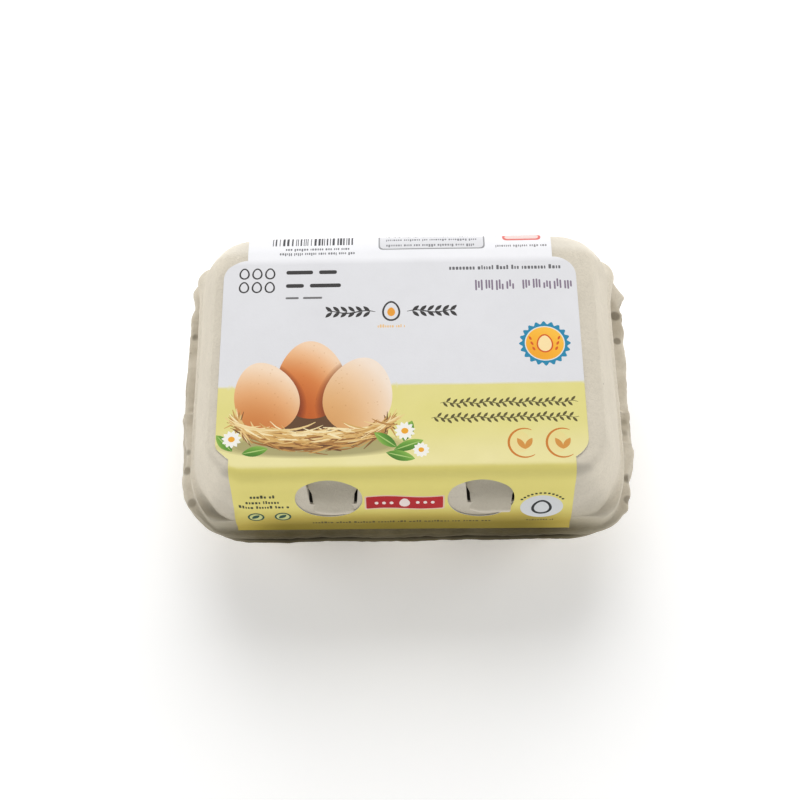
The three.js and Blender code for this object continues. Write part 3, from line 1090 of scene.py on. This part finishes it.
def straw(rng, centre, size, turn, scatter):
    """One bent straw of the nest, laid along an ellipse round the nest's middle."""
    u = centre[0] + size[0] * math.cos(turn)
    v = centre[1] + size[1] * math.sin(turn)
    ahead = math.atan2(size[1] * math.cos(turn), -size[0] * math.sin(turn)) + rng.normal(0.0, scatter)
    length = rng.uniform(7.0, 14.0)
    bend = length / size[0] + rng.normal(0.0, 0.35)
    points = []
    for t in np.linspace(-0.5, 0.5, 6):
        heading = ahead + 0.5 * bend * t
        points.append((u + length * t * math.cos(heading), v + length * t * math.sin(heading)))
    return stroke(points, rng.uniform(0.42, 0.78), 0.3)


def straw_colour(rng, light):
    """Colour of one straw, from the nest's dark underside at 0 to its bright rim at 1."""
    return blend(np.clip(light + rng.normal(0.0, 0.2), 0.0, 1.0), STRAW)


def soft_shadow(page, place, radii, tilt, depth, rings=5):
    """Darkens what is printed below in nested ovals, so that the edge looks soft."""
    share = 1.0 - depth / rings
    for index in range(rings):
        grow = 1.18 - 0.06 * index
        outline = egg(*place, radii[0] * grow, radii[1] * grow, tilt, 48)
        page.add(outline, lambda u, v, below: below * np.array([share, share * 0.998, share * 0.99]))


def egg_shadow(page, place, radii, tilt, behind):
    """Soft shadow of an egg on the egg behind it, which has the outline that is given."""

    def darker(u, v, below):
        middle = np.stack([u.mean(axis=1), v.mean(axis=1)], axis=1)
        share = np.where(inside(behind, middle), 0.93, 1.0)[:, None, None]
        return below * (1 - (1 - share) * np.array([0.8, 1.1, 1.3]))

    for index in range(6):
        grow = 1.2 - 0.035 * index
        page.add(egg(place[0], place[1] - 1.0, radii[0] * grow, radii[1] * grow, tilt), darker)


def draw_eggs(page, rng):
    """The three eggs, the rear one first, with their shadows and speckles."""
    eggs = (
        ((-30.5, 31.0), (11.2, 14.4), 0.06, BROWN_EGG),
        ((-45.0, 24.8), (10.3, 13.0), 0.3, PEACH_EGG),
        ((-15.2, 25.2), (11.0, 13.9), -0.22, PALE_EGG),
    )
    behind = egg(*eggs[0][0], *eggs[0][1], eggs[0][2])
    for number, (place, radii, tilt, stops) in enumerate(eggs):
        if number:
            egg_shadow(page, place, radii, tilt, behind)
        page.add(egg(*place, *radii, tilt), shaded(place, radii, tilt, stops))
        for _ in range(26):
            turn, reach = rng.uniform(0, 2 * math.pi), math.sqrt(rng.uniform(0.0, 0.85))
            u = place[0] + radii[0] * reach * math.cos(turn)
            v = place[1] + radii[1] * reach * math.sin(turn)
            size = rng.uniform(0.12, 0.3)
            page.add(ellipse(u, v, size, size, 8), lambda a, b, below: below * np.array([0.95, 0.92, 0.88]))


def draw_nest(page):
    """Three eggs in a straw nest with daisies and leaves beside it."""
    rng = np.random.default_rng(5)
    centre = (-29.5, 15.0)
    soft_shadow(page, (centre[0], 7.4), (26.0, 4.2), 0.0, 0.3)
    for _ in range(46):
        turn = rng.uniform(0.1, math.pi - 0.1)
        page.add(straw(rng, centre, (23.0, rng.uniform(1.5, 5.0)), turn, 0.25), straw_colour(rng, 0.5))
    page.add(ellipse(*centre, 22.0, 4.4, 60), (98, 66, 38))
    draw_eggs(page, rng)
    low = np.linspace(math.pi, 2 * math.pi, 40)
    bowl, rim = (
        np.stack([centre[0] + 23.0 * np.cos(low), centre[1] + deep * np.sin(low)], 1) for deep in (9.6, 3.2)
    )
    page.add(np.concatenate([bowl, rim[::-1]]), shaded((centre[0], 9.0), (24.0, 6.0), 0.0, STRAW[:3]))
    straws = 250
    for number in range(straws):
        part = number / (straws - 1)
        turn = rng.uniform(1.03 * math.pi, 1.97 * math.pi)
        deep = 9.8 - 7.2 * part + rng.normal(0.0, 0.5)
        page.add(straw(rng, centre, (23.4, deep), turn, 0.2), straw_colour(rng, 0.25 + 0.55 * part))
    leaves = (
        (-3.0, 6.0, 9.0, 2.5), (-4.0, 5.0, 10.0, 0.35), (-6.5, 4.2, 9.5, -0.25), (-1.0, 8.0, 8.0, 1.2),
        (-55.0, 5.2, 8.0, 2.3), (-52.0, 4.4, 8.5, 0.2),
    )
    for u, v, length, tilt in leaves:
        outline = leaf(u, v, length, 3.6, tilt)
        page.add(outline, shaded(outline.mean(axis=0), (5, 3), tilt, GREENS))
        page.add(leaf(u, v, length * 0.95, 0.4, tilt), (176, 206, 120))
    petals = 11
    for u, v, radius in ((-0.5, 11.8, 3.4), (-55.4, 9.6, 3.2), (4.6, 5.0, 2.7)):
        for petal in range(petals):
            tilt = petal * 2 * math.pi / petals + 0.2
            page.add(leaf(u, v, radius, 1.5, tilt, 7), (246, 244, 236))
        page.add(ellipse(u, v, radius * 0.34, radius * 0.31, 16), (240, 168, 40))


def draw_sprigs(page):
    """An egg between two sprigs."""
    u = -4.5
    for sign in (1, -1):
        stem = [(u + sign * (5.2 + 1.6 * i), 56.4 + 0.5 * math.sin(i * 0.8)) for i in range(11)]
        page.add(stroke(stem, 0.5), INK)
        for i, side in product(range(6), (1, -1)):
            tilt = (0.0 if sign > 0 else math.pi) + sign * side * 0.75
            page.add(leaf(u + sign * (7.0 + 2.5 * i), 56.5, 3.1, 1.25, tilt), INK)
    page.add(egg(u, 56.6, 3.0, 3.9, 0.0, 40), INK)
    page.add(egg(u, 56.6, 2.35, 3.2, 0.0, 36), WHITE)
    page.add(egg(u, 56.3, 1.3, 1.7, 0.0, 28), (234, 158, 48))


def draw_seal(page):
    """A round seal with a toothed edge and an egg."""
    seal = (45.6, 43.3)
    turn = np.linspace(0.0, 2 * math.pi, 192, endpoint=False)
    reach = 7.9 + 0.55 * np.cos(20 * turn)
    page.add(np.array(seal) + np.stack([reach * np.cos(turn), reach * np.sin(turn)], 1), (24, 134, 172))
    page.add(ellipse(*seal, 6.55, 6.55, 64), (232, 232, 226))
    page.add(ellipse(*seal, 6.2, 6.2, 64), shaded(seal, (6.2, 6.2), 0.0, AMBERS))
    page.add(egg(*seal, 2.7, 3.5, 0.0, 40), RUST)
    page.add(egg(*seal, 2.2, 2.95, 0.0, 36), (252, 226, 168))
    for side, i in product((1, -1), range(3)):
        tilt = math.pi / 2 - side * 0.5
        page.add(leaf(seal[0] + side * (3.3 + 0.5 * i), 40.6 + 2.0 * i, 1.7, 0.8, tilt), RUST)


def draw_panel(page):
    """Everything printed on the panel besides the nest."""
    for row, column in product(range(2), range(3)):
        u, v = -53.6 + column * 4.3, 72.0 - row * 5.4
        page.add(egg(u, v, 1.75, 2.25, 0.0, 28), INK)
        page.add(egg(u, v, 1.2, 1.68, 0.0, 24), WHITE)
    page.bars(71.6, 1.5, ((-39.6, -30.6), (-28.6, -22.6)), INK)
    page.bars(66.3, 1.5, ((-39.6, -33.6), (-31.6, -21.2)), INK)
    page.bars(61.8, 0.8, ((-39.6, -35.2), (-33.8, -27.4)), (112, 111, 112))
    draw_sprigs(page)
    page.blocks(-9.0, 0.2, 50.2, 0.9, 44, (238, 196, 140))
    page.blocks(15.1, 53.0, 72.5, 1.25, 45, (104, 103, 106))
    rng = np.random.default_rng(46)
    for start, groups in ((23.6, 4), (39.4, 5)):
        for column in range(3 * groups):
            u = start + 0.96 * column + 0.6 * (column // 3)
            tall = rng.uniform(2.2, 4.4)
            low = 64.2 + rng.uniform(0.0, 4.4 - tall)
            page.add(bar(u, low, u + 0.6, low + tall, 0.25), (132, 118, 136))
    draw_seal(page)
    page.vine(11.0, 55.4, 21.6, 2.1, VINE)
    page.vine(8.0, 55.4, 16.2, 2.1, VINE)
    glow = np.array([250, 196, 116]) * 0.15
    for u, v in ((37.3, 6.9), (49.3, 6.8)):
        turn = np.linspace(0.35 * math.pi, 1.7 * math.pi, 40)
        line = np.stack([u + 5.1 * np.cos(turn), v + 5.1 * np.sin(turn)], 1)
        page.add(ellipse(u - 1.6, v + 0.4, 3.2, 3.8, 30), lambda a, b, below: below * 0.85 + glow)
        page.add(stroke(line, 0.75, 0.2), (206, 124, 40))
        for side in (1, -1):
            page.add(leaf(u, v - 2.2, 4.6, 1.9, math.pi / 2 - side * 0.55), (214, 148, 66))


def draw_front_flap(page):
    """What is printed round the two windows."""
    at = page.path.front_v
    green, pink, pale = (58, 62, 34), (240, 224, 218), (214, 216, 218)
    rows = ((58.2, -50.2, -42.0, 61), (55.4, -51.8, -40.0, 62), (52.8, -54.2, -37.8, 63))
    for z, left, right, seed in rows:
        page.blocks(left, right, at(z) - 0.6, 1.15, seed, green)
    v = at(47.2)
    for u in (-49.1, -40.4):
        page.add(ellipse(u, v, 2.7, 2.5, 30), BLUE_GREEN)
        page.add(ellipse(u, v, 2.1, 1.9, 26), (198, 202, 132))
        page.add(leaf(u - 1.4, v - 1.0, 3.4, 1.7, 0.7), BLUE_GREEN)
    low, high = at(51.4), at(57.6)
    along = np.linspace(-13.2, 11.4, 25)
    wave = 0.45 * np.sin((along + 13.2) * 2 * math.pi / 24.6)
    for grow, colour in ((0.5, (228, 196, 176)), (0.0, shaded((0, low), (13, 9), 0.0, REDS))):
        upper, lower = (np.stack([along, level + wave], axis=1) for level in (high + grow, low - grow))
        ribbon = rounded_polygon(np.concatenate([upper, lower[::-1]]), 0.3, 2)
        off = ribbon[:, 0] + 0.9
        ribbon[:, 0] += grow * np.sign(off) * (np.abs(off) > 11.5)
        page.add(ribbon, colour)
    middle = 0.5 * (low + high)
    for side, index in product((-1, 1), range(3)):
        page.add(ellipse(-0.9 + side * (4.2 + 2.4 * index), middle, 0.62, 0.75, 16), pink)
    page.add(egg(-0.9, middle, 1.7, 2.2, 0.0, 28), pink)
    u, v = 43.1, at(51.0)
    page.add(ellipse(u, v, 6.9, 6.4, 56), pale)
    page.add(egg(u, v - 0.1, 3.3, 4.1, 0.0, 40), (40, 42, 44))
    page.add(egg(u, v - 0.1, 2.4, 3.1, 0.0, 36), pale)
    for turn in np.linspace(0.2, 0.8, 12) * math.pi:
        x, y = u + 8.1 * math.cos(turn), v + 7.6 * math.sin(turn)
        page.add(bar(x - 0.42, y - 0.4, x + 0.42, y + 0.4, 0.15, 2), green)
    page.blocks(38.6, 47.6, at(42.6) - 0.7, 1.0, 66, (104, 92, 40))
    page.blocks(-31.0, 27.5, at(42.6) - 0.8, 1.25, 67, (74, 66, 26))


def draw_back_flap(page):
    """Plain stripes, a framed field, a red frame and small print behind the lid."""
    rng = np.random.default_rng(68)
    u = -44.5
    while u < -17.6:
        wide = rng.choice([0.28, 0.28, 0.5, 0.75])
        page.add(bar(u, 83.4, u + wide, 93.0, 0.05, 2), (70, 70, 74))
        u += wide + rng.choice([0.35, 0.6, 0.9])
    page.blocks(-40.0, -18.5, 81.2, 0.9, 69, (120, 120, 124), True)
    page.blocks(-42.0, -16.5, 79.4, 0.9, 70, (126, 126, 130), True)
    for grow, colour in ((0.0, (150, 150, 152)), (0.45, WHITE)):
        page.add(bar(-8.6 + grow, 81.0 + grow, 27.4 - grow, 103.0 - grow, 1.6, 6), colour)
    for row in range(7):
        page.blocks(-6.0, 25.0, 82.4 + 2.7 * row, 0.9, 71 + row, SMALL_PRINT, True)
    page.blocks(31.0, 48.6, 81.6, 0.9, 80, (150, 148, 150), True)
    page.add(bar(33.5, 84.6, 46.5, 88.6, 1.6, 6), (226, 120, 112))
    page.add(bar(34.3, 85.4, 45.7, 87.8, 1.2, 6), (236, 214, 210))
    for row in range(4):
        page.blocks(31.0, 48.0, 91.2 + 2.4 * row, 0.9, 82 + row, SMALL_PRINT, True)


def label_outline(path):
    """Outline of the unfolded label: panel with rounded corners, front flap and back flap."""
    foot = path.v[0] + 0.2
    heel = path.v[-1] - 0.2

    def arc(u, v, start, end):
        turn = np.radians(np.linspace(start, end, 14))
        return [(u + PANEL_CORNER * math.cos(a), v + PANEL_CORNER * math.sin(a)) for a in turn]

    left, right = PANEL_LEFT + PANEL_CORNER, PANEL_RIGHT - PANEL_CORNER
    low, high = PANEL_FRONT + PANEL_CORNER, PANEL_BACK - PANEL_CORNER
    cut_front = math.degrees(math.acos((FLAP_RIGHT - right) / PANEL_CORNER))
    points = [(FLAP_LEFT, foot), (FLAP_RIGHT, foot)]
    points += arc(right, low, -cut_front, 0.0)
    points += arc(right, high, 0.0, 90.0)
    points += [(BACK_RIGHT, high + PANEL_CORNER), (BACK_RIGHT, heel), (BACK_LEFT, heel)]
    points += [(BACK_LEFT, high + PANEL_CORNER)]
    points += arc(left, high, 90.0, 180.0)
    points += arc(left, low, 180.0, 180.0 + cut_front)
    return subdivide(np.array(points), 1.2)


def subdivide(outline, step):
    """Adds points along a closed outline so that no side is longer than a step."""
    out = []
    for a, b in zip(outline, np.roll(outline, -1, axis=0)):
        count = max(1, int(math.ceil(np.linalg.norm(b - a) / step)))
        out += [a + (b - a) * i / count for i in range(count)]
    return np.array(out)


def label_mesh(grid_step):
    """The label's sheet with its print, cut along every printed outline."""
    path = LabelPath()
    page = Print(path)
    for draw in (draw_panel, draw_nest, draw_front_flap, draw_back_flap):
        draw(page)
    outline = label_outline(path)
    windows = [ellipse(u, path.front_v(z), ru, rv, 84, WINDOW_POWER) for u, z, ru, rv in WINDOWS]
    rng = np.random.default_rng(3)
    low, high = outline.min(axis=0), outline.max(axis=0)
    us = np.arange(low[0] + 0.5, high[0], grid_step)
    vs = np.arange(low[1] + 0.4, high[1], grid_step)
    fine = np.concatenate([np.arange(-6.0, 1.5, 0.45), np.arange(78.0, 88.0, 0.5)])
    grid = np.array(list(product(us, vs)) + list(product(np.arange(low[0] + 0.5, high[0], 1.6), fine)))
    grid = grid + rng.uniform(-0.02, 0.02, grid.shape)
    grid = grid[inside(outline, grid)]
    points, edges = [grid], []
    count = len(grid)
    along = np.arange(PANEL_LEFT, PANEL_RIGHT, 1.0)
    for border in np.linspace(*FIELD_EDGE, 3):
        points.append(np.stack([along, np.full(len(along), border)], axis=1))
        count += len(along)
    for shape in [outline] + windows + [layer[0] for layer in page.layers]:
        index = count + np.arange(len(shape))
        points.append(shape)
        edges += list(zip(index.tolist(), np.roll(index, -1).tolist()))
        count += len(shape)
    flat = [Vector(point) for point in np.concatenate(points).tolist()]
    made = delaunay_2d_cdt(flat, edges, [], 0, 1e-5, False)
    flat = np.array([tuple(point) for point in made[0]])
    faces = np.array([face for face in made[2] if len(face) == 3])
    centres = flat[faces].mean(axis=1)
    keep = inside(outline, centres)
    for window in windows:
        keep &= ~inside(window, centres)
    faces, centres = faces[keep], centres[keep]
    a, b, c = (flat[faces[:, i]] for i in range(3))
    turn = (b[:, 0] - a[:, 0]) * (c[:, 1] - a[:, 1]) - (b[:, 1] - a[:, 1]) * (c[:, 0] - a[:, 0])
    faces[turn < 0] = faces[turn < 0][:, ::-1]
    sound = np.abs(turn) > 1e-9
    faces, centres = faces[sound], centres[sound]
    used, faces = np.unique(faces, return_inverse=True)
    faces = faces.reshape(-1, 3)
    flat = flat[used]
    u, v = flat[faces][..., 0], flat[faces][..., 1]
    colours = paper_colour_and_painted_light(path)(u, v)
    for shape, colour in page.layers:
        hit = inside(shape, centres)
        if hit.any():
            colours[hit] = colour(u[hit], v[hit], colours[hit]) if callable(colour) else colour
    place, out = path.place(flat[:, 0], flat[:, 1])
    wave = 0.09 * (1 + lattice_noise(place, 22.0, 33)) + 0.02 * (1 + lattice_noise(place, 6.0, 34))
    fold = np.exp(-(((flat[:, 1] + 1.2) / 2.6) ** 2))
    wave += 0.11 * fold * (1 + lattice_noise(place * np.array([1.0, 2.5, 2.5]), 8.0, 35))
    place = place + out * wave[:, None]
    mesh = make_mesh("label_paper", place, faces.tolist())
    # the print with its painted shade and highlight
    attribute = mesh.color_attributes.new("print_colour", "FLOAT_COLOR", "CORNER")
    values = np.concatenate([linear(np.clip(colours, 0, 255)), np.ones(colours.shape[:2] + (1,))], axis=-1)
    attribute.data.foreach_set("color", values.reshape(-1).astype(np.float32))
    chart = mesh.uv_layers.new(name="unfolded")
    unfolded = np.stack([(u + 61.0) / 160.0, (v + 40.0) / 160.0], axis=-1)
    chart.data.foreach_set("uv", unfolded.reshape(-1).astype(np.float32))
    return mesh


# ---- tray ---------------------------------------------------------------------------------------


def cell_rings():
    """Level rings of one egg cup round its own axis, from its rim to its foot."""
    steps = 18
    table = np.array(CELL_LEVELS, float)
    heights = np.concatenate([np.linspace(31.6, 4.0, 22), np.linspace(3.4, 0.0, 8)])
    half, radius = (np.interp(-heights, -table[:, 0], column) for column in table.T[1:])
    rings = []
    for z, inner, corner in zip(heights, half - radius, radius):
        points = []
        centres = [(inner, -inner), (inner, inner), (-inner, inner), (-inner, -inner)]
        for quarter, (x, y) in enumerate(centres):
            for step in range(steps):
                turn = math.pi / 2 * (quarter - 1 + step / (steps - 1))
                points.append((x + corner * math.cos(turn), y + corner * math.sin(turn), z))
        rings.append(points)
    return np.array(rings)


def cell_tree():
    """Geometry Nodes: one egg cup on each point of a grid, joined with the web between them."""
    tree = bpy.data.node_groups.new("egg_cup_grid", "GeometryNodeTree")
    kinds = {
        "Web": "Geometry", "Cup": "Object", "Pitch": "Float",
        "Columns": "Int", "Rows": "Int", "Pulp": "Material",
    }
    names = {}
    for name, kind in kinds.items():
        made = tree.interface.new_socket(name=name, in_out="INPUT", socket_type="NodeSocket" + kind)
        names[name] = made.identifier
    tree.interface.new_socket(name="Geometry", in_out="OUTPUT", socket_type="NodeSocketGeometry")
    into = node(tree, "NodeGroupInput", (-900, 0))
    sizes = {}
    for count, axis, level in (("Columns", "X", 300), ("Rows", "Y", 100)):
        gaps = math_of(tree, "SUBTRACT", into.outputs[count], 1.0, (-700, level))
        sizes["Size " + axis] = math_of(tree, "MULTIPLY", gaps, into.outputs["Pitch"], (-500, level))
        sizes["Vertices " + axis] = into.outputs[count]
    grid = node(tree, "GeometryNodeMeshGrid", (-300, 200), sizes)
    cup = node(tree, "GeometryNodeObjectInfo", (-300, -200), {"Object": into.outputs["Cup"]})
    spots = {"Points": grid.outputs["Mesh"], "Instance": cup.outputs["Geometry"]}
    each = node(tree, "GeometryNodeInstanceOnPoints", (-50, 100), spots)
    join = node(tree, "GeometryNodeJoinGeometry", (150, 0), {"Geometry": each.outputs["Instances"]})
    feed(tree, join.inputs["Geometry"], into.outputs["Web"])
    real = node(tree, "GeometryNodeRealizeInstances", (350, 0), {"Geometry": join.outputs["Geometry"]})
    finish = {"Geometry": real.outputs["Geometry"], "Material": into.outputs["Pulp"]}
    paint = node(tree, "GeometryNodeSetMaterial", (550, 0), finish)
    node(tree, "NodeGroupOutput", (750, 0), {"Geometry": paint.outputs["Geometry"]})
    return tree, names


def roughen_mesh(mesh, scale):
    """Moves a mesh's points along their normals by the unevenness of moulded pulp."""
    count = len(mesh.vertices)
    place = np.empty(count * 3, np.float32)
    normal = np.empty(count * 3, np.float32)
    mesh.vertices.foreach_get("co", place)
    mesh.vertices.foreach_get("normal", normal)
    place = place.reshape(-1, 3) / MM
    normal = normal.reshape(-1, 3)
    place = place + normal * (scale * unevenness(place))[:, None]
    place[:, 2] = np.maximum(place[:, 2], 0.0)
    mesh.vertices.foreach_set("co", (place * MM).reshape(-1).astype(np.float32))
    mesh.update()


# ---- settings -----------------------------------------------------------------------------------


class CartonSizes(bpy.types.PropertyGroup):
    """Sizes of the carton that a user may change."""

    relief: FloatProperty(
        name="Pulp relief", description="How strong the unevenness of the pulp is", default=1.0, min=0.0
    )
    pitch: FloatProperty(
        name="Cup pitch", description="Distance between the middles of two egg cups",
        default=0.047, unit="LENGTH",
    )
    columns: IntProperty(name="Columns", description="Egg cups along the carton", default=3, min=1)
    rows: IntProperty(name="Rows", description="Egg cups across the carton", default=2, min=1)
    voxel: FloatProperty(
        name="Tray detail", description="Size of the cells that the tray is remeshed with",
        default=0.0008, unit="LENGTH",
    )
    label_grid: FloatProperty(
        name="Label detail", description="Distance between the points of the label's sheet",
        default=0.0017, unit="LENGTH",
    )
    label_thickness: FloatProperty(
        name="Label thickness", description="Thickness of the label's paper",
        default=LABEL_THICKNESS * MM, unit="LENGTH",
    )


class CartonColours(bpy.types.PropertyGroup):
    """Colours of the carton and the light that a user may change."""

    pulp: FloatVectorProperty(
        name="Pulp", description="Colour of the moulded pulp", default=(0.667, 0.61, 0.505),
        size=3, subtype="COLOR",
    )
    floor: FloatVectorProperty(
        name="Floor", description="Colour of the studio floor", default=(0.97, 0.97, 0.97),
        size=3, subtype="COLOR",
    )
    light: FloatProperty(name="Soft lights", description="Strength of the four soft lights", default=1.0)
    world: FloatProperty(name="Room light", description="Strength of the light all round", default=0.3)


# ---- operators ----------------------------------------------------------------------------------


class CARTON_OT_lid(bpy.types.Operator):
    """Builds the lid with its rim, skirt and ragged lip"""

    bl_idname = "carton.lid"
    bl_label = "Build lid"

    def execute(self, context):
        sizes, colours = context.scene.carton_sizes, context.scene.carton_colours
        lid = solid("lid_shell", lid_rings(sizes.relief))
        holes = [lock_hole(centre) for centre, _ in LOCKS]
        for hole in holes:
            cut = lid.modifiers.new("lock_hole", "BOOLEAN")
            cut.operation = "DIFFERENCE"
            cut.solver = "MANIFOLD"
            cut.object = hole
        before = len(lid.data.polygons)
        bake_modifiers(lid)
        for hole in holes:
            drop(hole)
        if abs(len(lid.data.polygons) - before) < 10:
            raise RuntimeError("the lock holes weren't cut into the lid")
        finish_pulp(lid, colours)
        return {"FINISHED"}


class CARTON_OT_locks(bpy.types.Operator):
    """Builds the two lock tabs in the front wall"""

    bl_idname = "carton.locks"
    bl_label = "Build lock tabs"

    def execute(self, context):
        points, faces = [], []
        for index, (centre, right_curl) in enumerate(LOCKS):
            plate, sides = grid_shell(*lock_tab_points(centre, right_curl, 51 + 10 * index))
            faces += [[corner + len(points) for corner in face] for face in sides]
            points += plate.tolist()
        tabs = make_object("lock_tabs", make_mesh("lock_tabs", points, faces))
        # the tabs' own material carries their painted shade and highlight
        finish_pulp(tabs, context.scene.carton_colours, "lock_pulp")
        return {"FINISHED"}


class CARTON_OT_rim(bpy.types.Operator):
    """Builds the tray's flange and the fold of the hinge"""

    bl_idname = "carton.rim"
    bl_label = "Build tray rim"

    def execute(self, context):
        sizes, colours = context.scene.carton_sizes, context.scene.carton_colours
        levels = even_levels(TRAY_LEVELS, 0.6, 0.8)
        rings = blur_round(np.stack([ring(level) for level in levels]), 1.6)
        ragged = 0.7 * marks(rings, LIP_MARKS)
        ragged += 0.35 * lattice_noise(rings, 7.0, 24) + 0.15 * lattice_noise(rings, 2.0, 25)
        rings[..., :2] += level_outward(rings) * (levels[:, 7:8] * ragged)[..., None]
        rings = relief(rings, np.ones(rings.shape[:2]), sizes.relief)
        finish_pulp(solid("tray_rim", rings), colours)
        turn = np.linspace(0.0, 2 * math.pi, 24, endpoint=False)
        xs = np.concatenate([[-62.0, -61.6], np.linspace(-60.8, 60.8, 180), [61.6, 62.0]])
        size = np.concatenate([[0.25, 0.8], np.ones(180), [0.8, 0.25]])
        fold = np.stack([
            np.stack([np.full(24, x), 49.9 + 1.1 * s * np.cos(turn), 34.0 + 2.6 * s * np.sin(turn)], axis=1)
            for x, s in zip(xs, size)
        ])
        fold = relief(fold, np.ones(fold.shape[:2]), sizes.relief)
        finish_pulp(solid("hinge_fold", fold[:, ::-1]), colours)
        return {"FINISHED"}


class CARTON_OT_cells(bpy.types.Operator):
    """Builds the tray's six egg cups and the web between them"""

    bl_idname = "carton.cells"
    bl_label = "Build egg cups"

    def execute(self, context):
        sizes, colours = context.scene.carton_sizes, context.scene.carton_colours
        pulp = shared_material("moulded_pulp", pulp_material, colours)
        cup = solid("egg_cup", cell_rings())
        tray = solid("tray_cells", np.stack([ring(level) for level in even_levels(WEB_LEVELS, 1.5, 0.8)]))
        tree, names = cell_tree()
        grow = tray.modifiers.new("egg_cups", "NODES")
        grow.node_group = tree
        grow[names["Cup"]] = cup
        grow[names["Pulp"]] = pulp
        for name in ("Pitch", "Columns", "Rows"):
            grow[names[name]] = getattr(sizes, name.lower())
        bake_modifiers(tray)
        drop(cup)
        melt = tray.modifiers.new("melt", "REMESH")
        melt.mode = "VOXEL"
        melt.voxel_size = sizes.voxel
        soften = tray.modifiers.new("soften", "SMOOTH")
        soften.iterations = 14
        bake_modifiers(tray)
        roughen_mesh(tray.data, sizes.relief)
        finish_pulp(tray, colours)
        return {"FINISHED"}


class CARTON_OT_label(bpy.types.Operator):
    """Builds the printed paper label that is glued over the lid"""

    bl_idname = "carton.label"
    bl_label = "Build label"

    def execute(self, context):
        sizes = context.scene.carton_sizes
        label = make_object("label_paper", label_mesh(sizes.label_grid / MM))
        label.data.materials.append(shared_material("printed_paper", print_material))
        label.data.materials.append(shared_material("bare_paper", paper_material))
        body = label.modifiers.new("thickness", "SOLIDIFY")
        body.thickness = sizes.label_thickness
        body.offset = -1.0
        body.use_rim = True
        body.material_offset = 1
        body.material_offset_rim = 1
        bake_modifiers(label)
        finish_piece(label, None, "paper_label")
        return {"FINISHED"}


class CARTON_OT_stage(bpy.types.Operator):
    """Builds the floor, the soft lights and the camera"""

    bl_idname = "carton.stage"
    bl_label = "Build stage"

    def execute(self, context):
        colours = context.scene.carton_colours
        corners = [(FLOOR_REACH * x, FLOOR_REACH * y, 0.0) for x, y in ((-1, -1), (1, -1), (1, 1), (-1, 1))]
        floor = make_object("floor", make_mesh("floor", corners, [[0, 1, 2, 3]]))
        floor.data.materials.append(shared_material("studio_floor", floor_material, colours))
        for name, place, width, share in LIGHTS:
            reach = Vector(place) - Vector(LIGHT_AIM)
            power = colours.light * share * math.pi**2 * reach.length_squared
            self.add_area(name, place, width, power)
        world = bpy.data.worlds.new("studio")
        world.use_nodes = True
        background = world.node_tree.nodes["Background"]
        background.inputs["Color"].default_value = (1.0, 1.0, 1.0, 1.0)
        background.inputs["Strength"].default_value = colours.world
        context.scene.world = world
        context.scene.view_settings.view_transform = "Standard"
        context.scene.camera = self.add_camera()
        return {"FINISHED"}

    def add_area(self, name, place, size, power):
        """A square soft light that looks at the carton."""
        lamp = bpy.data.lights.new(name, "AREA")
        lamp.energy = power
        lamp.size = size
        light = bpy.data.objects.new(name, lamp)
        light.location = place
        aim = Vector(LIGHT_AIM) - Vector(place)
        light.rotation_euler = aim.to_track_quat("-Z", "Y").to_euler()
        bpy.context.scene.collection.objects.link(light)

    def add_camera(self):
        """The camera in front of the carton, looking down at its lid."""
        lift, turn, roll = (math.radians(value) for value in CAMERA_ANGLES)
        back = Vector((math.sin(turn) * math.cos(lift), -math.cos(turn) * math.cos(lift), math.sin(lift)))
        right = (-back).cross(Vector((0.0, 0.0, 1.0))).normalized()
        up = right.cross(-back)
        side = math.cos(roll) * right + math.sin(roll) * up
        above = -math.sin(roll) * right + math.cos(roll) * up
        lens = bpy.data.cameras.new("camera")
        lens.sensor_width = SENSOR_WIDTH
        lens.lens = CAMERA_LENS * SENSOR_WIDTH
        lens.clip_start = 0.01
        camera = bpy.data.objects.new("camera", lens)
        place = (Vector(CAMERA_TARGET) + back * CAMERA_DISTANCE) * MM
        camera.matrix_world = Matrix((
            (side.x, above.x, back.x, place.x),
            (side.y, above.y, back.y, place.y),
            (side.z, above.z, back.z, place.z),
            (0.0, 0.0, 0.0, 1.0),
        ))
        bpy.context.scene.collection.objects.link(camera)
        return camera


class CARTON_PT_panel(bpy.types.Panel):
    """Lists the carton's settings and its building steps"""

    bl_idname = "CARTON_PT_panel"
    bl_label = "Egg carton"
    bl_space_type = "VIEW_3D"
    bl_region_type = "UI"
    bl_category = "Egg carton"

    def draw(self, context):
        layout = self.layout
        for group in (context.scene.carton_sizes, context.scene.carton_colours):
            box = layout.box()
            for name in group.__annotations__:
                box.prop(group, name)
        for step in STEPS:
            layout.operator(step.bl_idname)


STEPS = (CARTON_OT_lid, CARTON_OT_locks, CARTON_OT_rim, CARTON_OT_cells, CARTON_OT_label, CARTON_OT_stage)
CLASSES = (CartonSizes, CartonColours) + STEPS + (CARTON_PT_panel,)


def register():
    """Registers the classes and hangs the settings on the scene."""
    for one in CLASSES:
        bpy.utils.register_class(one)
    bpy.types.Scene.carton_sizes = PointerProperty(type=CartonSizes)
    bpy.types.Scene.carton_colours = PointerProperty(type=CartonColours)


def unregister():
    """Takes the settings and classes away again."""
    del bpy.types.Scene.carton_colours
    del bpy.types.Scene.carton_sizes
    for one in reversed(CLASSES):
        bpy.utils.unregister_class(one)


def main():
    register()
    bpy.ops.carton.lid()
    bpy.ops.carton.locks()
    bpy.ops.carton.rim()
    bpy.ops.carton.cells()
    bpy.ops.carton.label()
    bpy.ops.carton.stage()


if __name__ == "__main__":
    main()
